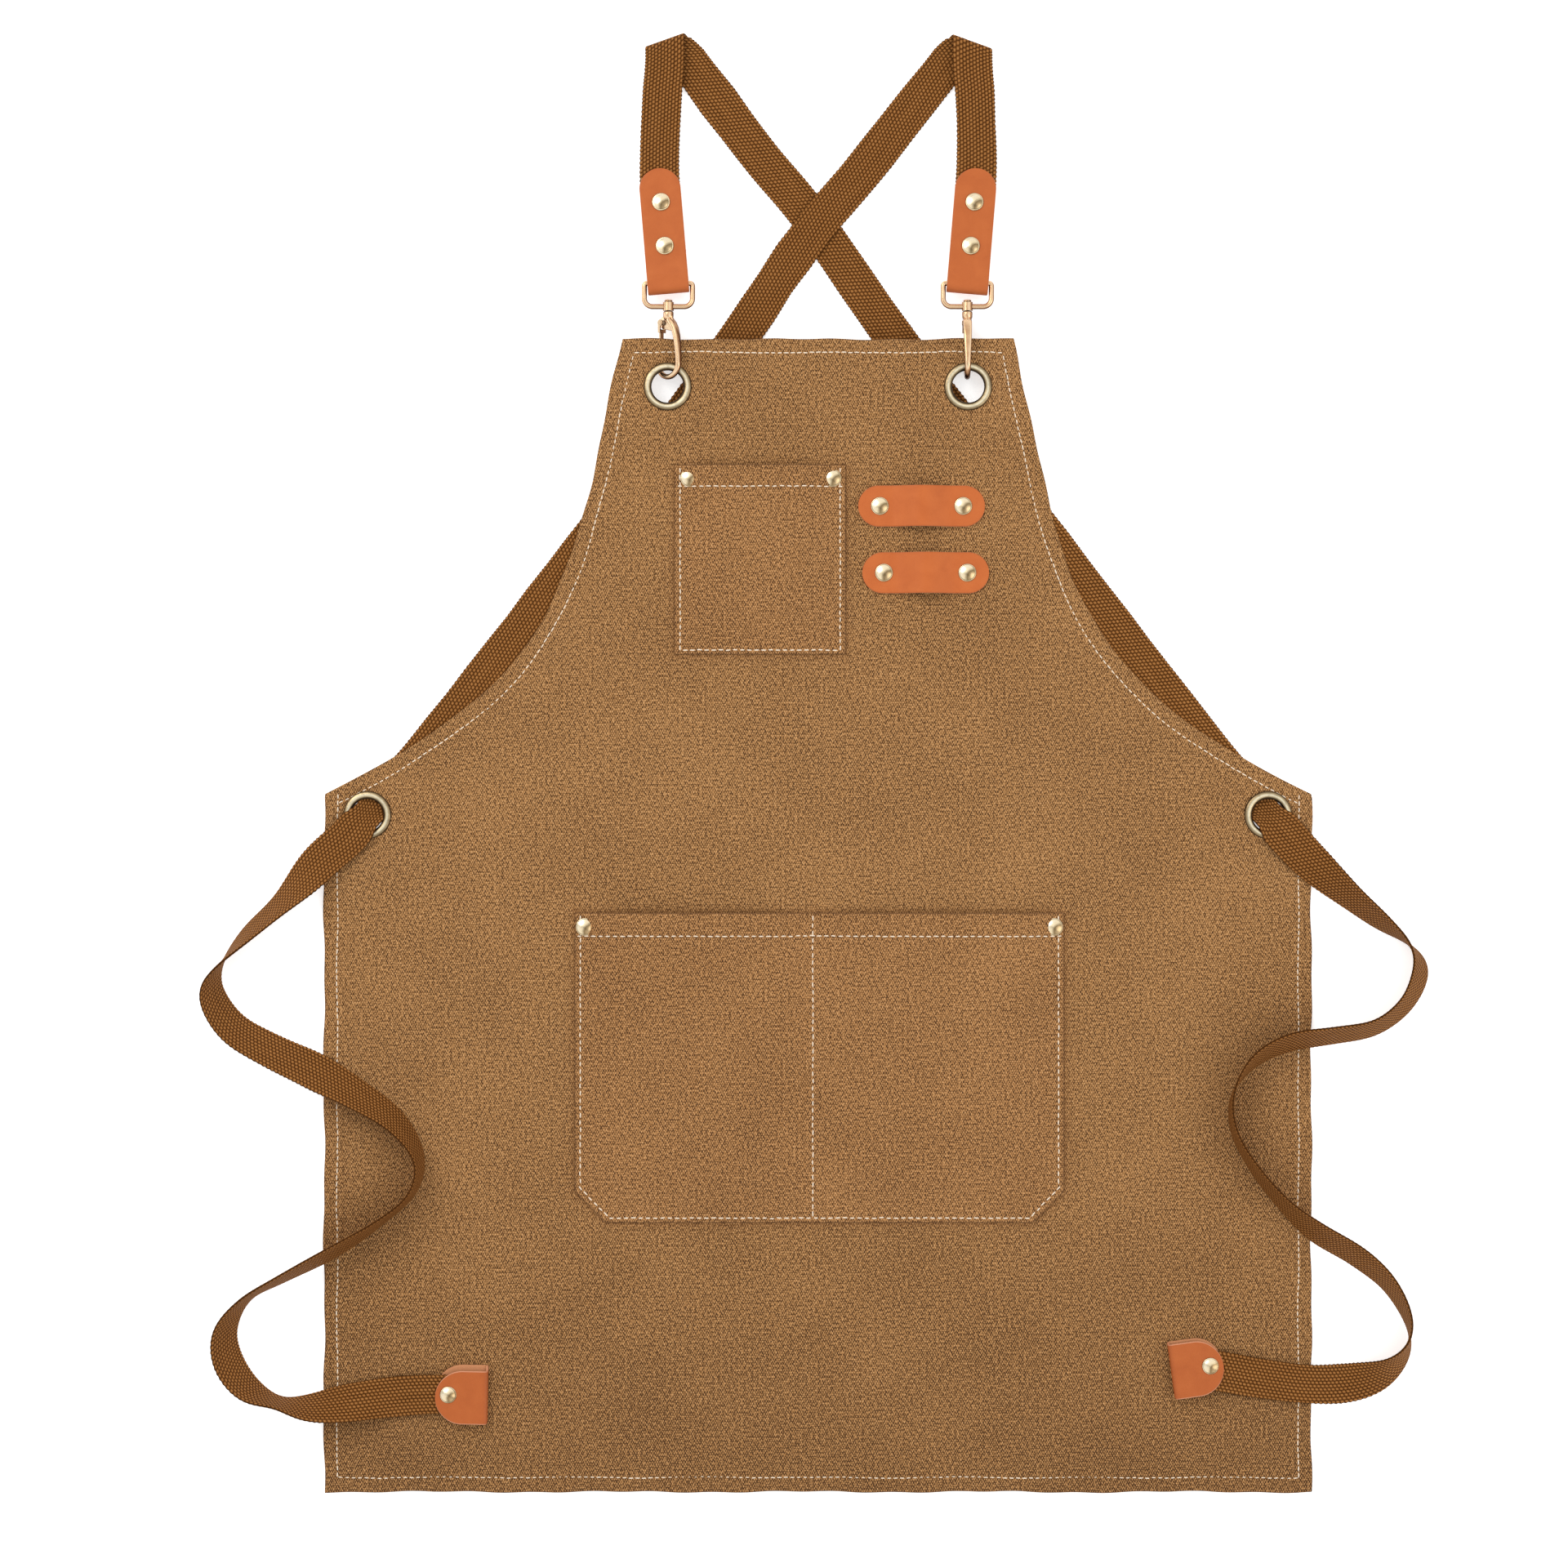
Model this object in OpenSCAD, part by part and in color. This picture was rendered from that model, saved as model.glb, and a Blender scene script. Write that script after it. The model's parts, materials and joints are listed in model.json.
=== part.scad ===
// Cross-back canvas work apron laid out flat, front side up, millimetres.
// +Z is up from the table, +Y runs from the hem to the top of the bib, +X to the right of the bib.

/* [Canvas panel] */
// Width of the skirt across the waist and the hem
apron_w = 600; // [480:5:760]
// Width of the bib along its top edge
bib_w = 237; // [180:1:300]
// Length from the bottom hem to the top of the bib
apron_l = 700; // [560:5:900]
// Height of the waist corners above the bottom hem
waist_h = 424; // [320:2:520]
// Thickness of the canvas
canvas_t = 1; // [0.6:0.1:1.6]
// Width of the turned hem all round
hem_w = 11; // [8:1:20]
// Distance of the stitching line from the edge
stitch_in = 8; // [5:1:12]

/* [Bib pocket] */
// Width of the chest pocket
bib_pocket_w = 104; // [80:1:140]
// Height of the chest pocket
bib_pocket_h = 115; // [80:1:150]
// How far the chest pocket stands off the bib
bib_pocket_rise = 7; // [6:0.5:15]

/* [Waist pocket] */
// Width of the hand pocket
waist_pocket_w = 297; // [220:1:340]
// Height of the hand pocket
waist_pocket_h = 188; // [140:1:220]
// Cut-off at the two lower corners
waist_pocket_chamfer = 19; // [8:1:30]
// How far the hand pocket stands off the skirt
waist_pocket_rise = 8; // [6:0.5:20]

/* [Leather tool loops] */
// Length of each loop strip
loop_l = 77; // [60:1:100]
// Width of each loop strip
loop_w = 25; // [18:1:32]
// Height of the arch between its two rivets
loop_rise = 6; // [5:0.5:12]
// Thickness of the leather
leather_t = 1.6; // [1.2:0.1:2.4]

/* [Webbing straps] */
// Width of the webbing
strap_w = 24; // [20:1:30]
// Thickness of the webbing
strap_t = 1.5; // [1:0.1:2]

/* [Metal fittings] */
// Outer radius of an eyelet
eyelet_r = 14.5; // [12:0.5:17]
// Clear radius through an eyelet
eyelet_hole_r = 9.75; // [7:0.25:11]
// Radius of a rivet cap
rivet_r = 5.4; // [4:0.1:7]
// Radius of the wire in the hooks
hook_wire_r = 1.75; // [1.4:0.05:2.2]
// Radius of the wire in the D-loops
loop_wire_r = 1.6; // [1.2:0.05:2]
// Turn of the left hook about its own swivel, degrees
left_hook_turn = 50; // [0:1:55]

/* [Hidden] */

$fn = 48;

// heights above the table: the side and bottom hems carry the panel
sheet_z = 2.8;
lift = 6.6;
ramp_y0 = 228;
ramp_y1 = 251;
bib_y = 298;
hem_y = bib_y - apron_l;
waist_y = hem_y + waist_h;
half_w = apron_w / 2;
half_bib = bib_w / 2;
face_z = sheet_z + canvas_t;
bib_z = sheet_z + lift;

// armhole: one cubic curve from the bib corner to the waist corner
arm_a = [half_bib, bib_y];
arm_b = [152, 152];
arm_c = [147, 97];
arm_d = [half_w, waist_y];
arm_n = 22;

// eyelet centres
bib_eye = [91, 269];
waist_eye = [273.5, 9.5];

// pocket frames: centre of the top edge
bib_pocket_at = [-35, 222];
waist_pocket_at = [1, -50];
waist_seam = -4;

// rivet centres
bib_pocket_rivets = [[-78, 214], [9, 214]];
waist_pocket_rivets = [[-141.5, -58.5], [143.5, -58.5]];
upper_loop_at = [63, 197];
lower_loop_at = [65.5, 156.5];
loop_rivet = 25.3;

// hanging fittings: bar of each D-loop, clear of the table
bar_y = 331.5;
tab_y = 328.7;
bar_x = 90.5;
hang_z = 9.8;
loop_drop = 14.1;
loop_half = 14.6;
foot_y = bar_y - loop_drop;
tab_lean = 4.9;
tab_pitch = 4;
tab_l = 77;
tab_w = 25;
tab_rivets = [25.5, 52.5];
tab_fold_r = 2;
tab_gap = strap_t / 2 + 0.05;

// hook sizes along and across its swivel axis
hook_reach = 34.5;
hook_half = 8;
gate_u = 9.5;
gate_r = 4.5;
gate_end = 34.7;
stud_r = 1.52;
boss_r = 3.3;
boss_half = 2.6;

// ---------- small helpers ----------
function bez(t, a, b, c, d) =
    pow(1 - t, 3) * a + 3 * pow(1 - t, 2) * t * b + 3 * (1 - t) * t * t * c + pow(t, 3) * d;
function unit(v) = v / norm(v);
function side_of(v) = [v[1], -v[0]];

// armhole points moved sideways into the cloth by d
function arm_at(t) = bez(t, arm_a, arm_b, arm_c, arm_d);
function arm_tangent(t) = unit(arm_at(min(1, t + 0.01)) - arm_at(max(0, t - 0.01)));
function arm_line(d) = [for (i = [0 : arm_n]) arm_at(i / arm_n) + d * side_of(arm_tangent(i / arm_n))];
function arm_side(d) = let (l = arm_line(d)) concat(
    [l[0] - 60 * arm_tangent(0)], l, [l[arm_n] + 60 * arm_tangent(1)], [[half_w + 80, hem_y - 40]]);
function flip_x(l) = [for (i = [len(l) - 1 : -1 : 0]) [-l[i][0], l[i][1]]];

// plan of the panel, moved in by d
module plan(d, z0, z1) {
    a = arm_side(d);
    translate([0, 0, z0])
        linear_extrude(z1 - z0)
            intersection() {
                polygon(concat(a, flip_x(a)));
                translate([-half_w + d, hem_y + d])
                    square([apron_w - 2 * d, apron_l - 2 * d]);
            }
}

// band that follows the rise of the bib, from a to b above the sheet's underside
function rise_line(a) = [[hem_y - 5, sheet_z + a], [ramp_y0, sheet_z + a],
                        [ramp_y1, bib_z + a], [bib_y + 5, bib_z + a]];
function reversed(l) = [for (i = [len(l) - 1 : -1 : 0]) l[i]];

module band(a, b) {
    rotate([90, 0, 90])
        translate([0, 0, -half_w - 20])
            linear_extrude(apron_w + 40)
                polygon(concat(rise_line(a), reversed(rise_line(b))));
}

module at_pair(p, z) {
    for (s = [-1, 1])
        translate([s * p[0], p[1], z])
            children();
}

module at_list(list, z) {
    for (p = list)
        translate([p[0], p[1], z])
            children();
}

// ---------- canvas ----------
module apron_panel() {
    color("#96703F")
        difference() {
            union() {
                intersection() {
                    plan(0, 0, 30);
                    band(0, canvas_t);
                }
                // single turn along the top and the armholes
                difference() {
                    intersection() {
                        plan(0, 0, 30);
                        band(-canvas_t, 0.2);
                        translate([-half_w, waist_y - 8, 0])
                            cube([apron_w, 400, 40]);
                    }
                    plan(hem_w, -1, 40);
                    at_pair(waist_eye, -1)
                        cylinder(h = sheet_z + 1, r = eyelet_r + 0.3);
                }
                // full turn down the sides and along the bottom, resting on the table
                difference() {
                    intersection() {
                        plan(0, 0, sheet_z + 0.2);
                        translate([-half_w, hem_y, 0])
                            cube([apron_w, waist_h - 8, 40]);
                    }
                    plan(hem_w, -1, 40);
                }
            }
            at_pair(waist_eye, -5)
                cylinder(h = 30, r = eyelet_hole_r + 0.85);
            at_pair(bib_eye, -5)
                cylinder(h = 30, r = eyelet_hole_r + 0.85);
            at_list(bib_pocket_rivets, -5)
                cylinder(h = 30, r = 1.55);
            at_list(waist_pocket_rivets, -5)
                cylinder(h = 30, r = 1.55);
            at_list([for (s = [-1, 1]) upper_loop_at + [s * loop_rivet, 0]], -5)
                cylinder(h = 30, r = 1.55);
            at_list([for (s = [-1, 1]) lower_loop_at + [s * loop_rivet, 0]], -5)
                cylinder(h = 30, r = 1.55);
        }
}

// bead of thread along the hem line
module hem_thread() {
    color("#E9DFC8")
        difference() {
            intersection() {
                plan(stitch_in, 0, 30);
                band(canvas_t, canvas_t + 0.3);
            }
            plan(stitch_in + 0.7, -1, 40);
        }
}

// arch of cloth drawn from its top edge down: list of [x, height] across, shut at the foot
module pocket_mass(across, h, foot, rise, ease, t) {
    intersection() {
        rotate([90, 0, 0])
            linear_extrude(h)
                polygon(across);
        rotate([90, 0, 90])
            translate([0, 0, -500])
                linear_extrude(1000)
                    polygon([[1, 0], [1, rise + t], [-h + foot + ease, rise + t],
                             [-h + foot, t], [-h, t], [-h, 0]]);
    }
}

module pocket_hollow(across, h, foot, rise, ease, top = 2) {
    intersection() {
        rotate([90, 0, 0])
            translate([0, 0, -top])
                linear_extrude(h + top)
                    polygon(across);
        rotate([90, 0, 90])
            translate([0, 0, -500])
                linear_extrude(1000)
                    polygon([[2, -1], [2, rise], [-h + foot + ease, rise], [-h + foot, 0], [-h + foot, -1]]);
    }
}

function hump(a, b, e, z, t) = [[a, t], [a + e, z + t], [b - e, z + t], [b, t]];

module bib_pocket() {
    w = bib_pocket_w / 2;
    r = bib_pocket_rise - canvas_t;
    color("#9A7345")
        translate([bib_pocket_at[0], bib_pocket_at[1], face_z])
            difference() {
                pocket_mass(concat([[-w, 0], [-w, canvas_t]], hump(-w + 15, w - 15, 8, r, canvas_t),
                                   [[w, canvas_t], [w, 0]]), bib_pocket_h, 6, r, 10, canvas_t);
                pocket_hollow(concat([[-w + 15, -1]], hump(-w + 15, w - 15, 8, r - 0.8, 0), [[w - 15, -1]]),
                              bib_pocket_h, 6, r - 0.8, 10);
                pocket_hollow(concat([[-w + 15, -1]], hump(-w + 15, w - 15, 8, r, 0), [[w - 15, -1]]),
                              bib_pocket_h, 6, r, 10, -13);
                for (p = bib_pocket_rivets)
                    translate([p[0] - bib_pocket_at[0], p[1] - bib_pocket_at[1], -5])
                        cylinder(h = 30, r = 1.55);
            }
}

module waist_pocket() {
    w = waist_pocket_w / 2;
    r = waist_pocket_rise - canvas_t;
    c = waist_pocket_chamfer;
    s = waist_seam;
    color("#9A7345")
        translate([waist_pocket_at[0], waist_pocket_at[1], face_z])
            difference() {
                pocket_mass(concat([[-w, 0], [-w, canvas_t]], hump(-w + 13, s - 8, 9, r, canvas_t),
                                   hump(s + 8, w - 13, 9, r, canvas_t), [[w, canvas_t], [w, 0]]),
                            waist_pocket_h, 12, r, 12, canvas_t);
                for (k = [[-w + 13, s - 8], [s + 8, w - 13]]) {
                    pocket_hollow(concat([[k[0], -1]], hump(k[0], k[1], 9, r - 0.8, 0), [[k[1], -1]]),
                                  waist_pocket_h, 12, r - 0.8, 12);
                    pocket_hollow(concat([[k[0], -1]], hump(k[0], k[1], 9, r, 0), [[k[1], -1]]),
                                  waist_pocket_h, 12, r, 12, -14);
                }
                for (m = [0, 1])
                    mirror([m, 0, 0])
                        translate([w, -waist_pocket_h, -1])
                            rotate([0, 0, 45])
                                cube([c * 3, c * sqrt(2), 40], center = true);
                for (p = waist_pocket_rivets)
                    translate([p[0] - waist_pocket_at[0], p[1] - waist_pocket_at[1], -5])
                        cylinder(h = 30, r = 1.55);
            }
}

// stitching beads on the flat seam margins
module bib_pocket_thread() {
    w = bib_pocket_w / 2;
    h = bib_pocket_h;
    color("#E9DFC8")
        translate([bib_pocket_at[0], bib_pocket_at[1], face_z + canvas_t])
            difference() {
                translate([-w + 3, -h + 2.5, 0])
                    cube([2 * w - 6, h - 3, 0.3]);
                translate([-w + 3.7, -h + 3.2, -1])
                    cube([2 * w - 7.4, h, 3]);
                for (p = bib_pocket_rivets)
                    translate([p[0] - bib_pocket_at[0], p[1] - bib_pocket_at[1], -1])
                        cylinder(h = 3, r = rivet_r + 0.3);
            }
}

module waist_pocket_thread() {
    w = waist_pocket_w / 2;
    h = waist_pocket_h;
    c = waist_pocket_chamfer;
    color("#E9DFC8")
        translate([waist_pocket_at[0], waist_pocket_at[1], face_z + canvas_t]) {
            difference() {
                linear_extrude(0.3)
                    polygon([[-w + 3, -1], [-w + 3, -h + c + 1], [-w + c + 1, -h + 3], [w - c - 1, -h + 3],
                             [w - 3, -h + c + 1], [w - 3, -1]]);
                translate([0, 0, -1])
                    linear_extrude(3)
                        polygon([[-w + 3.7, 1], [-w + 3.7, -h + c + 1.3], [-w + c + 1.3, -h + 3.7],
                                 [w - c - 1.3, -h + 3.7], [w - 3.7, -h + c + 1.3], [w - 3.7, 1]]);
                for (p = waist_pocket_rivets)
                    translate([p[0] - waist_pocket_at[0], p[1] - waist_pocket_at[1], -1])
                        cylinder(h = 3, r = rivet_r + 0.3);
            }
            translate([waist_seam - 0.35, -h + 3.6, 0])
                cube([0.7, h - 4.6, 0.3]);
        }
}

// ---------- eyelets ----------
// cap side domed ring with its barrel, rolled over the washer behind the cloth
module eyelet() {
    w = eyelet_r - eyelet_hole_r;
    h = 1.5;
    rr = (w * w / 4 + h * h) / (2 * h);
    color("#8C6A3C")
        rotate_extrude($fn = 72)
            union() {
                intersection() {
                    translate([eyelet_hole_r + w / 2, canvas_t + h - rr])
                        circle(rr);
                    translate([eyelet_hole_r, canvas_t])
                        square([w, 3]);
                }
                translate([eyelet_hole_r, -1])
                    square([0.8, canvas_t + 1.1]);
                translate([eyelet_hole_r, -1])
                    square([1.8, 0.3]);
            }
}

module eyelet_washer() {
    color("#8C6A3C")
        translate([0, 0, -0.7])
            difference() {
                cylinder(h = 0.7, r = eyelet_r - 0.5, $fn = 72);
                translate([0, 0, -1])
                    cylinder(h = 3, r = eyelet_hole_r + 0.85, $fn = 72);
            }
}

module bib_eyelet_left() {
    translate([-bib_eye[0], bib_eye[1], bib_z])
        eyelet();
}

module bib_eyelet_right() {
    translate([bib_eye[0], bib_eye[1], bib_z])
        eyelet();
}

module waist_eyelet_left() {
    translate([-waist_eye[0], waist_eye[1], sheet_z])
        eyelet();
}

module waist_eyelet_right() {
    translate([waist_eye[0], waist_eye[1], sheet_z])
        eyelet();
}

module bib_washer_left() {
    translate([-bib_eye[0], bib_eye[1], bib_z])
        eyelet_washer();
}

module bib_washer_right() {
    translate([bib_eye[0], bib_eye[1], bib_z])
        eyelet_washer();
}

module waist_washer_left() {
    translate([-waist_eye[0], waist_eye[1], sheet_z])
        eyelet_washer();
}

module waist_washer_right() {
    translate([waist_eye[0], waist_eye[1], sheet_z])
        eyelet_washer();
}

// ---------- rivets ----------
// domed cap resting at z = 0 with a shank of length l going down
module rivet_cap(l, r = rivet_r) {
    h = 1.7;
    rr = (r * r + h * h) / (2 * h);
    color("#D9B36C") {
        intersection() {
            translate([0, 0, h - rr])
                sphere(rr, $fn = 64);
            cylinder(h = 4, r = r);
        }
        translate([0, 0, -l])
            cylinder(h = l + 0.4, r = 1.5);
    }
}

module rivet_back(r = 4.6) {
    color("#C9A35C")
        translate([0, 0, -0.8])
            cylinder(h = 0.8, r = r);
}

module bib_pocket_rivet_caps() {
    at_list(bib_pocket_rivets, face_z + canvas_t)
        rivet_cap(2 * canvas_t);
}

module bib_pocket_rivet_backs() {
    at_list(bib_pocket_rivets, sheet_z)
        rivet_back();
}

module waist_pocket_rivet_caps() {
    at_list(waist_pocket_rivets, face_z + canvas_t)
        rivet_cap(2 * canvas_t);
}

module waist_pocket_rivet_backs() {
    at_list(waist_pocket_rivets, sheet_z)
        rivet_back();
}

module pair_on(p) {
    for (s = [-1, 1])
        translate([p[0] + s * loop_rivet, p[1], 0])
            children();
}

module upper_loop_rivet_caps() {
    pair_on(upper_loop_at)
        translate([0, 0, face_z + leather_t])
            rivet_cap(canvas_t + leather_t);
}

module upper_loop_rivet_backs() {
    pair_on(upper_loop_at)
        translate([0, 0, sheet_z])
            rivet_back();
}

module lower_loop_rivet_caps() {
    pair_on(lower_loop_at)
        translate([0, 0, face_z + leather_t])
            rivet_cap(canvas_t + leather_t);
}

module lower_loop_rivet_backs() {
    pair_on(lower_loop_at)
        translate([0, 0, sheet_z])
            rivet_back();
}

// ---------- leather ----------
function arch_z(x) = abs(x) > 20 ? 0 : loop_rise * (1 + cos(9 * x)) / 2;

module tool_loop() {
    a = loop_l / 2;
    e = loop_w / 2;
    low = [for (x = [-20 : 2 : 20]) [x, arch_z(x)]];
    top = [for (x = [20 : -2 : -20]) [x, arch_z(x) + leather_t]];
    color("#B5622F")
        difference() {
            intersection() {
                rotate([90, 0, 0])
                    translate([0, 0, -e])
                        linear_extrude(loop_w)
                            polygon(concat([[-a, 0]], low, [[a, 0], [a, leather_t]],
                                           top, [[-a, leather_t]]));
                union() {
                    for (s = [-1, 1])
                        translate([s * (a - e), 0, -5])
                            cylinder(h = 30, r = e);
                    translate([-a + e, -e, -5])
                        cube([loop_l - loop_w, loop_w, 30]);
                }
            }
            for (s = [-1, 1])
                translate([s * loop_rivet, 0, -5])
                    cylinder(h = 30, r = 1.55);
        }
}

module upper_tool_loop() {
    translate([upper_loop_at[0], upper_loop_at[1], face_z])
        tool_loop();
}

module lower_tool_loop() {
    translate([lower_loop_at[0], lower_loop_at[1], face_z])
        tool_loop();
}

// strip folded round the bar, both ends holding the webbing; x along the strip, z across it
module tab_section() {
    o = tab_fold_r + leather_t;
    far = tab_l - o;
    difference() {
        union() {
            circle(o);
            polygon([[0, -o], [6, -o], [18, -tab_gap - leather_t], [far, -tab_gap - leather_t],
                     [far, tab_gap + leather_t], [18, tab_gap + leather_t], [6, o], [0, o]]);
        }
        circle(tab_fold_r);
        polygon([[0, -tab_fold_r], [6, -tab_fold_r], [18, -tab_gap], [far + 1, -tab_gap],
                 [far + 1, tab_gap], [18, tab_gap], [6, tab_fold_r], [0, tab_fold_r]]);
    }
}

module strap_tab() {
    o = tab_fold_r + leather_t;
    e = tab_w / 2;
    far = tab_l - o;
    color("#B5622F")
        difference() {
            intersection() {
                rotate([90, 0, 90])
                    translate([0, 0, -e])
                        linear_extrude(tab_w)
                            tab_section();
                union() {
                    translate([0, far - e, -10])
                        cylinder(h = 20, r = e);
                    translate([-e, -o - 1, -10])
                        cube([tab_w, tab_l - e + 1, 20]);
                }
            }
            for (v = tab_rivets)
                translate([0, v, -10])
                    cylinder(h = 20, r = 1.55);
        }
}

// places a tab, or what is on it, from the bar outwards
module on_tab(s) {
    translate([s * bar_x, tab_y, hang_z])
        rotate([0, 0, -s * tab_lean])
            rotate([-tab_pitch, 0, 0])
                children();
}

module left_strap_tab() {
    on_tab(-1)
        strap_tab();
}

module right_strap_tab() {
    on_tab(1)
        strap_tab();
}

module tab_caps() {
    for (v = tab_rivets)
        translate([0, v, tab_gap + leather_t])
            rivet_cap(2 * (tab_gap + leather_t));
}

module tab_backs() {
    for (v = tab_rivets)
        translate([0, v, -tab_gap - leather_t])
            rivet_back(4.2);
}

module left_tab_rivet_caps() {
    on_tab(-1)
        tab_caps();
}

module left_tab_rivet_backs() {
    on_tab(-1)
        tab_backs();
}

module right_tab_rivet_caps() {
    on_tab(1)
        tab_caps();
}

module right_tab_rivet_backs() {
    on_tab(1)
        tab_backs();
}

// leather end of a tie: a strip folded over the end of the webbing, fold on the +X side
end_l = 32;
end_w = 35;
end_z = face_z + 0.1;
end_mid = end_z + leather_t + tab_gap;
end_rivet = -8;

module end_tab() {
    o = tab_gap + leather_t;
    e = end_l / 2;
    color("#B5622F")
        difference() {
            intersection() {
                rotate([90, 0, 0])
                    translate([0, 0, -end_w / 2])
                        linear_extrude(end_w)
                            difference() {
                                union() {
                                    translate([-e, -o])
                                        square([end_l - o, 2 * o]);
                                    translate([e - o, 0])
                                        circle(o);
                                }
                                translate([-e - 1, -tab_gap])
                                    square([end_l + 1 - o, 2 * tab_gap]);
                                translate([e - o, 0])
                                    circle(tab_gap);
                            }
                union() {
                    translate([-e + 20, -end_w / 2, -10])
                        cube([end_l, end_w, 20]);
                    intersection() {
                        translate([-e + 20, 0, -10])
                            cylinder(h = 20, r = 20);
                        translate([-e, -end_w / 2, -10])
                            cube([end_l, end_w, 20]);
                    }
                }
            }
            translate([end_rivet, 0, -10])
                cylinder(h = 20, r = 1.55);
        }
}

module at_left_end() {
    translate([-216, -342, end_mid])
        rotate([0, 0, -1])
            children();
}

module at_right_end() {
    translate([230, -325.5, end_mid])
        rotate([0, 0, 188])
            children();
}

module left_end_tab() {
    at_left_end()
        end_tab();
}

module right_end_tab() {
    at_right_end()
        end_tab();
}

module end_cap() {
    translate([end_rivet, 0, tab_gap + leather_t])
        rivet_cap(2 * (tab_gap + leather_t) - 0.3, 5);
}

module end_back() {
    color("#C9A35C")
        translate([end_rivet, 0, -tab_gap - leather_t])
            cylinder(h = 0.3, r = 1.5);
}

module left_end_rivet() {
    at_left_end()
        end_cap();
}

module right_end_rivet() {
    at_right_end()
        end_cap();
}

module left_end_rivet_back() {
    at_left_end()
        end_back();
}

module right_end_rivet_back() {
    at_right_end()
        end_back();
}

// ---------- webbing ----------
// A route row is [x, y, height of the lowest edge, tilt, cup, bearing of the width].
// The bearing is left out where the webbing runs square to its width.
fold_r = 2.4;

function tab_point(s, v) = [s * bar_x + s * v * cos(tab_pitch) * sin(tab_lean),
                            tab_y + v * cos(tab_pitch) * cos(tab_lean),
                            hang_z - v * sin(tab_pitch) - strap_t / 2];

// soft fold: half a turn round a line of bearing b that starts at p, going under
function fold_rows(p, b, s) = [for (a = [0 : 45 : 180])
    let (m = fold_r * a * PI / 180 * tan(b), q = s * (fold_r * sin(a)))
    [p[0] + s * m * cos(b) - q * sin(b), p[1] + m * sin(b) + fold_r * sin(a) * cos(b),
     0.1 + fold_r * (1 + cos(a)), 0, 0, s > 0 ? 180 + b : 180 - b]];

left_top = concat(
    [[tab_point(-1, 22)[0], tab_point(-1, 22)[1], tab_point(-1, 22)[2], 0, 0, 184.9],
     [tab_point(-1, 60)[0], tab_point(-1, 60)[1], tab_point(-1, 60)[2], 0, 0, 184.9],
     [-96, 412, 3.6, 0, 0, 182],
     [-94.5, 445, 4.4, 0, 0, 179],
     [-94, 462, 4.8, 0, 0, 182],
     [-93.4, 470, 4.9, 0, 0, 190]],
    fold_rows([-93, 477], 19.5, 1),
    [[-85, 468, 0.1, 0, 0, 205],
     [-80, 462, 0.1, 0, 0, 216],
     [-62, 440, 0.1, 0, 0],
     [-34, 408, 0.1, 0, 0],
     [-3, 371, 0.1, 0, 0],
     [48, 298, 0.1, 0, 0],
     [124, 198, 0.1, 0, 0],
     [235, 52, 0.1, 0, 0],
     [256, 29, 0.1, 0, 0],
     [264, 20, 0.1, 0, -60],
     [270, 13, 0.5, 0, -140],
     [276, 6, 3.2, 0, -140],
     [281, 0, 5.4, 0, -90],
     [288, -8, 5.2, 0, 0]]);

right_top = concat(
    [[tab_point(1, 22)[0], tab_point(1, 22)[1], tab_point(1, 22)[2], 0, 0, 175.1],
     [tab_point(1, 60)[0], tab_point(1, 60)[1], tab_point(1, 60)[2], 0, 0, 175.1],
     [96.5, 412, 3.6, 0, 0, 178],
     [95.5, 445, 4.4, 0, 0, 181],
     [95, 462, 4.8, 0, 0, 178],
     [94.4, 469, 4.9, 0, 0, 170]],
    fold_rows([94, 476], 20.5, -1),
    [[85, 467, 0.1, 0, 0, 155],
     [80, 461, 0.1, 0, 0, 144],
     [58, 436, 0.1, 0, 0],
     [26, 399, 1, 0, 0],
     [2, 371, 1.9, 0, 0],
     [-21, 340, 1, 0, 0],
     [-48, 300, 0.1, 0, 0],
     [-124, 196, 0.1, 0, 0],
     [-234, 53, 0.1, 0, 0],
     [-256, 29, 0.1, 0, 0],
     [-264, 20, 0.1, 0, -60],
     [-270, 13, 0.5, 0, -140],
     [-276, 6, 3.2, 0, -140],
     [-281, 0, 5.4, 0, -90],
     [-288, -7, 5.2, 0, 0]]);

// ties: the free lengths lie in loose loops, mostly standing on one edge
left_tie = [
    [-301, -18, 4.2, 8, 0],
    [-324, -43, 0.3, 55, 0],
    [-347, -64, 0.3, 68, 0],
    [-363, -83, 0.3, 92, 0],
    [-367, -99, 0.3, 122, 0],
    [-355, -119, 0.3, 136, 0],
    [-332, -133, 0.5, 143, 0],
    [-306, -145, 3.6, 150, 0],
    [-280, -159, 4, 134, 0],
    [-255, -176, 4, 117, 0],
    [-241, -198, 4, 100, 0],
    [-245, -219, 4, 97, 0],
    [-264, -236, 4, 100, 0],
    [-292, -254, 4, 110, 0],
    [-326, -272, 0.3, 104, 0],
    [-347, -284, 0.3, 100, 0],
    [-359, -303, 0.3, 118, 0],
    [-357, -322, 0.3, 129, 0],
    [-345, -338, 0.3, 120, 0],
    [-327, -346, 0.3, 97, 0],
    [-309, -349, 1.5, 122, 0],
    [-289, -347, 4, 148, 0],
    [-262, -344, 4.4, 176, 0],
    [-238, -342, 5.65, 180, 0],
    [-208, -342, 5.65, 180, 0]];

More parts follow.
